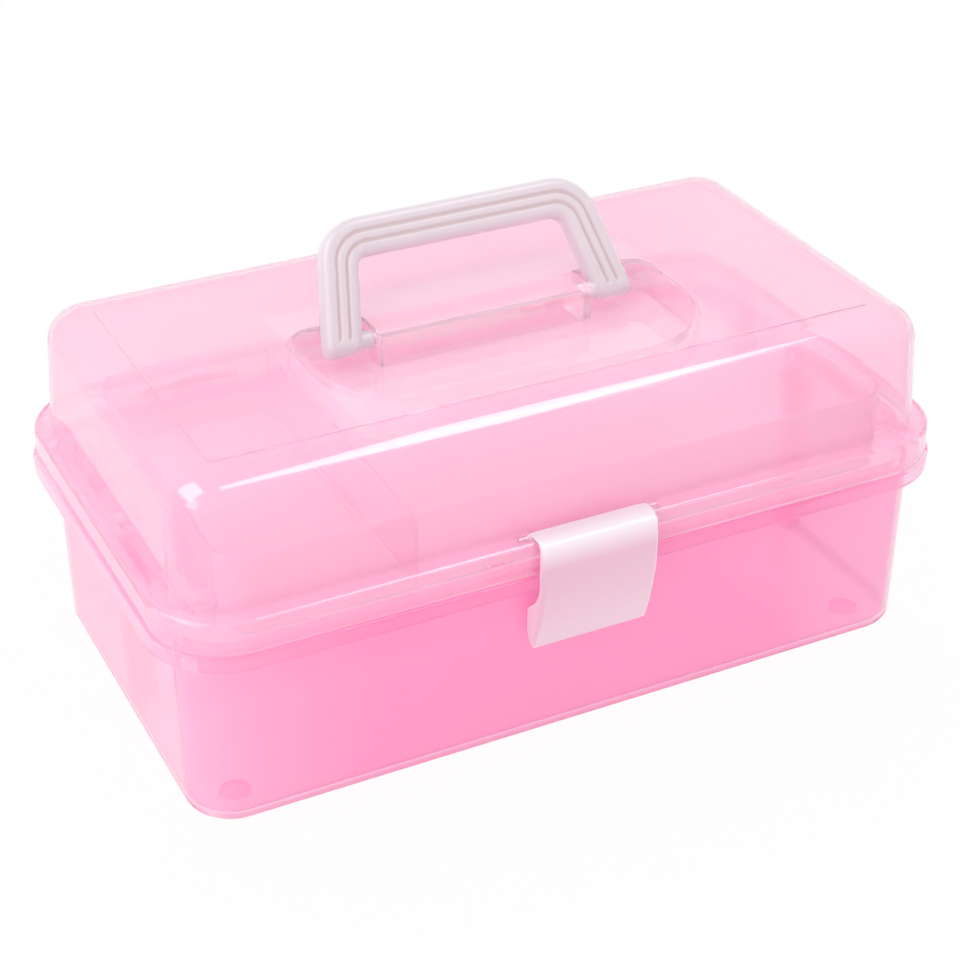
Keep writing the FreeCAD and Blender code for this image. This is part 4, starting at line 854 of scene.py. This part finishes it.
# half the floor's width, its paint, and the share of it that shines white to the eye
FLOOR_HALF, FLOOR_PAINT, FLOOR_GLOW = 6.0, (0.95, 0.95, 0.95), 0.93


def seen_directly(b):
    """Mask of what is seen by the eye, in gloss or through glass."""
    path = b.node("ShaderNodeLightPath")
    seen = b.math("MAXIMUM", path.outputs["Is Camera Ray"], path.outputs["Is Glossy Ray"])
    return b.math("MAXIMUM", seen, path.outputs["Is Transmission Ray"])


def make_floor():
    """A wide pale floor: white to the eye and in gloss, with a soft share that takes shadow."""
    far = FLOOR_HALF
    mesh = bpy.data.meshes.new("Floor")
    mesh.from_pydata([(-far, -far, 0), (far, -far, 0), (far, far, 0), (-far, far, 0)], [],
                     [(0, 1, 2, 3)])
    floor = bpy.data.objects.new("Floor", mesh)
    bpy.context.scene.collection.objects.link(floor)
    material, b, end = new_material("Floor paint")
    paint = b.node("ShaderNodeBsdfDiffuse", Color=FLOOR_PAINT)
    glow = b.node("ShaderNodeEmission", Color=WHITE, Strength=1.0)
    share = b.math("MULTIPLY", seen_directly(b), FLOOR_GLOW)
    mix = b.node("ShaderNodeMixShader", n0=share, n1=paint.outputs[0], n2=glow.outputs[0])
    b.feed(end, "Surface", mix.outputs[0])
    mesh.materials.append(material)


def make_world(scene, strength):
    """White all round for the eye, for gloss and through glass; a plain level for the rest."""
    world = bpy.data.worlds.new("Studio")
    scene.world = world
    world.use_nodes = True
    world.node_tree.nodes.clear()
    b = Tree(world.node_tree)
    level = b.node("ShaderNodeMix", {"data_type": "FLOAT"}, n0=seen_directly(b), n2=strength,
                   n3=1.0)
    back = b.node("ShaderNodeBackground", Color=WHITE, Strength=level.outputs[0])
    b.feed(b.node("ShaderNodeOutputWorld"), "Surface", back.outputs[0])


def make_lamp(name, place, size, power, diffuse):
    """An area lamp that faces the case."""
    data = bpy.data.lights.new(name, "AREA")
    data.shape, data.energy = "RECTANGLE", power
    data.size, data.size_y = size
    lamp = bpy.data.objects.new(name, data)
    bpy.context.scene.collection.objects.link(lamp)
    lamp.visible_diffuse = diffuse
    lamp.location = place
    lamp.rotation_mode = "QUATERNION"
    lamp.rotation_quaternion = (Vector(LAMP_AIM) - Vector(place)).to_track_quat("-Z", "Y")


def make_camera(scene, focal):
    """The camera, from its place and its turn, rise and roll in degrees."""
    data = bpy.data.cameras.new("Camera")
    data.lens, data.sensor_width = focal, SENSOR_WIDTH
    data.clip_start, data.clip_end = CLIP_START, CLIP_END
    camera = bpy.data.objects.new("Camera", data)
    scene.collection.objects.link(camera)
    turn, rise, roll = (math.radians(v) for v in (CAMERA_TURN, CAMERA_RISE, CAMERA_ROLL))
    back = Vector((math.sin(turn) * math.cos(rise), -math.cos(turn) * math.cos(rise),
                   math.sin(rise)))
    right = Vector((math.cos(turn), math.sin(turn), 0.0))
    up = back.cross(right)
    across = right * math.cos(roll) + up * math.sin(roll)
    above = up * math.cos(roll) - right * math.sin(roll)
    camera.matrix_world = Matrix.Translation(CAMERA_PLACE) @ Matrix(
        (across, above, back)).transposed().to_4x4()
    scene.camera = camera


class CASE_PT_panel(bpy.types.Panel):
    """Sizes, colours and steps of the storage case"""

    bl_idname = "CASE_PT_panel"
    bl_label = "Storage Case"
    bl_space_type = "VIEW_3D"
    bl_region_type = "UI"
    bl_category = "Storage Case"

    def draw(self, context):
        for name, _ in GROUPS:
            group = getattr(context.scene, name)
            box = self.layout.box()
            for key in group.bl_rna.properties.keys():
                if key not in ("rna_type", "name"):
                    box.prop(group, key)
        for step in STEPS:
            self.layout.operator(step.bl_idname)


STEPS = (CASE_OT_stage, CASE_OT_shells, CASE_OT_trim)
GROUPS = (("case_shell", ShellSettings), ("case_handle", HandleSettings),
          ("case_tab", RimTabSettings), ("case_latch", LatchSettings),
          ("case_trim", TrimSettings), ("case_stage", StageSettings))
# how many times light may be bent, mirrored and passed on in the case's many thin walls; with the
# usual few, light that is led on inside a wall turns black
WALL_BOUNCES, PASSING_BOUNCES = 32, 48


def register():
    for key, group in GROUPS:
        bpy.utils.register_class(group)
        setattr(bpy.types.Scene, key, PointerProperty(type=group))
    for item in (*STEPS, CASE_PT_panel):
        bpy.utils.register_class(item)


def unregister():
    for item in (CASE_PT_panel, *reversed(STEPS)):
        bpy.utils.unregister_class(item)
    for key, group in reversed(GROUPS):
        delattr(bpy.types.Scene, key)
        bpy.utils.unregister_class(group)


def main():
    """Build everything: register the settings, set the view and the bounces, and run the steps."""
    register()
    scene = bpy.context.scene
    scene.view_settings.view_transform = "Standard"
    scene.cycles.max_bounces = WALL_BOUNCES
    scene.cycles.transmission_bounces = WALL_BOUNCES
    scene.cycles.glossy_bounces = WALL_BOUNCES
    scene.cycles.transparent_max_bounces = PASSING_BOUNCES
    for step in STEPS:
        area, name = step.bl_idname.split(".")
        getattr(getattr(bpy.ops, area), name)()


if __name__ == "__main__":
    main()
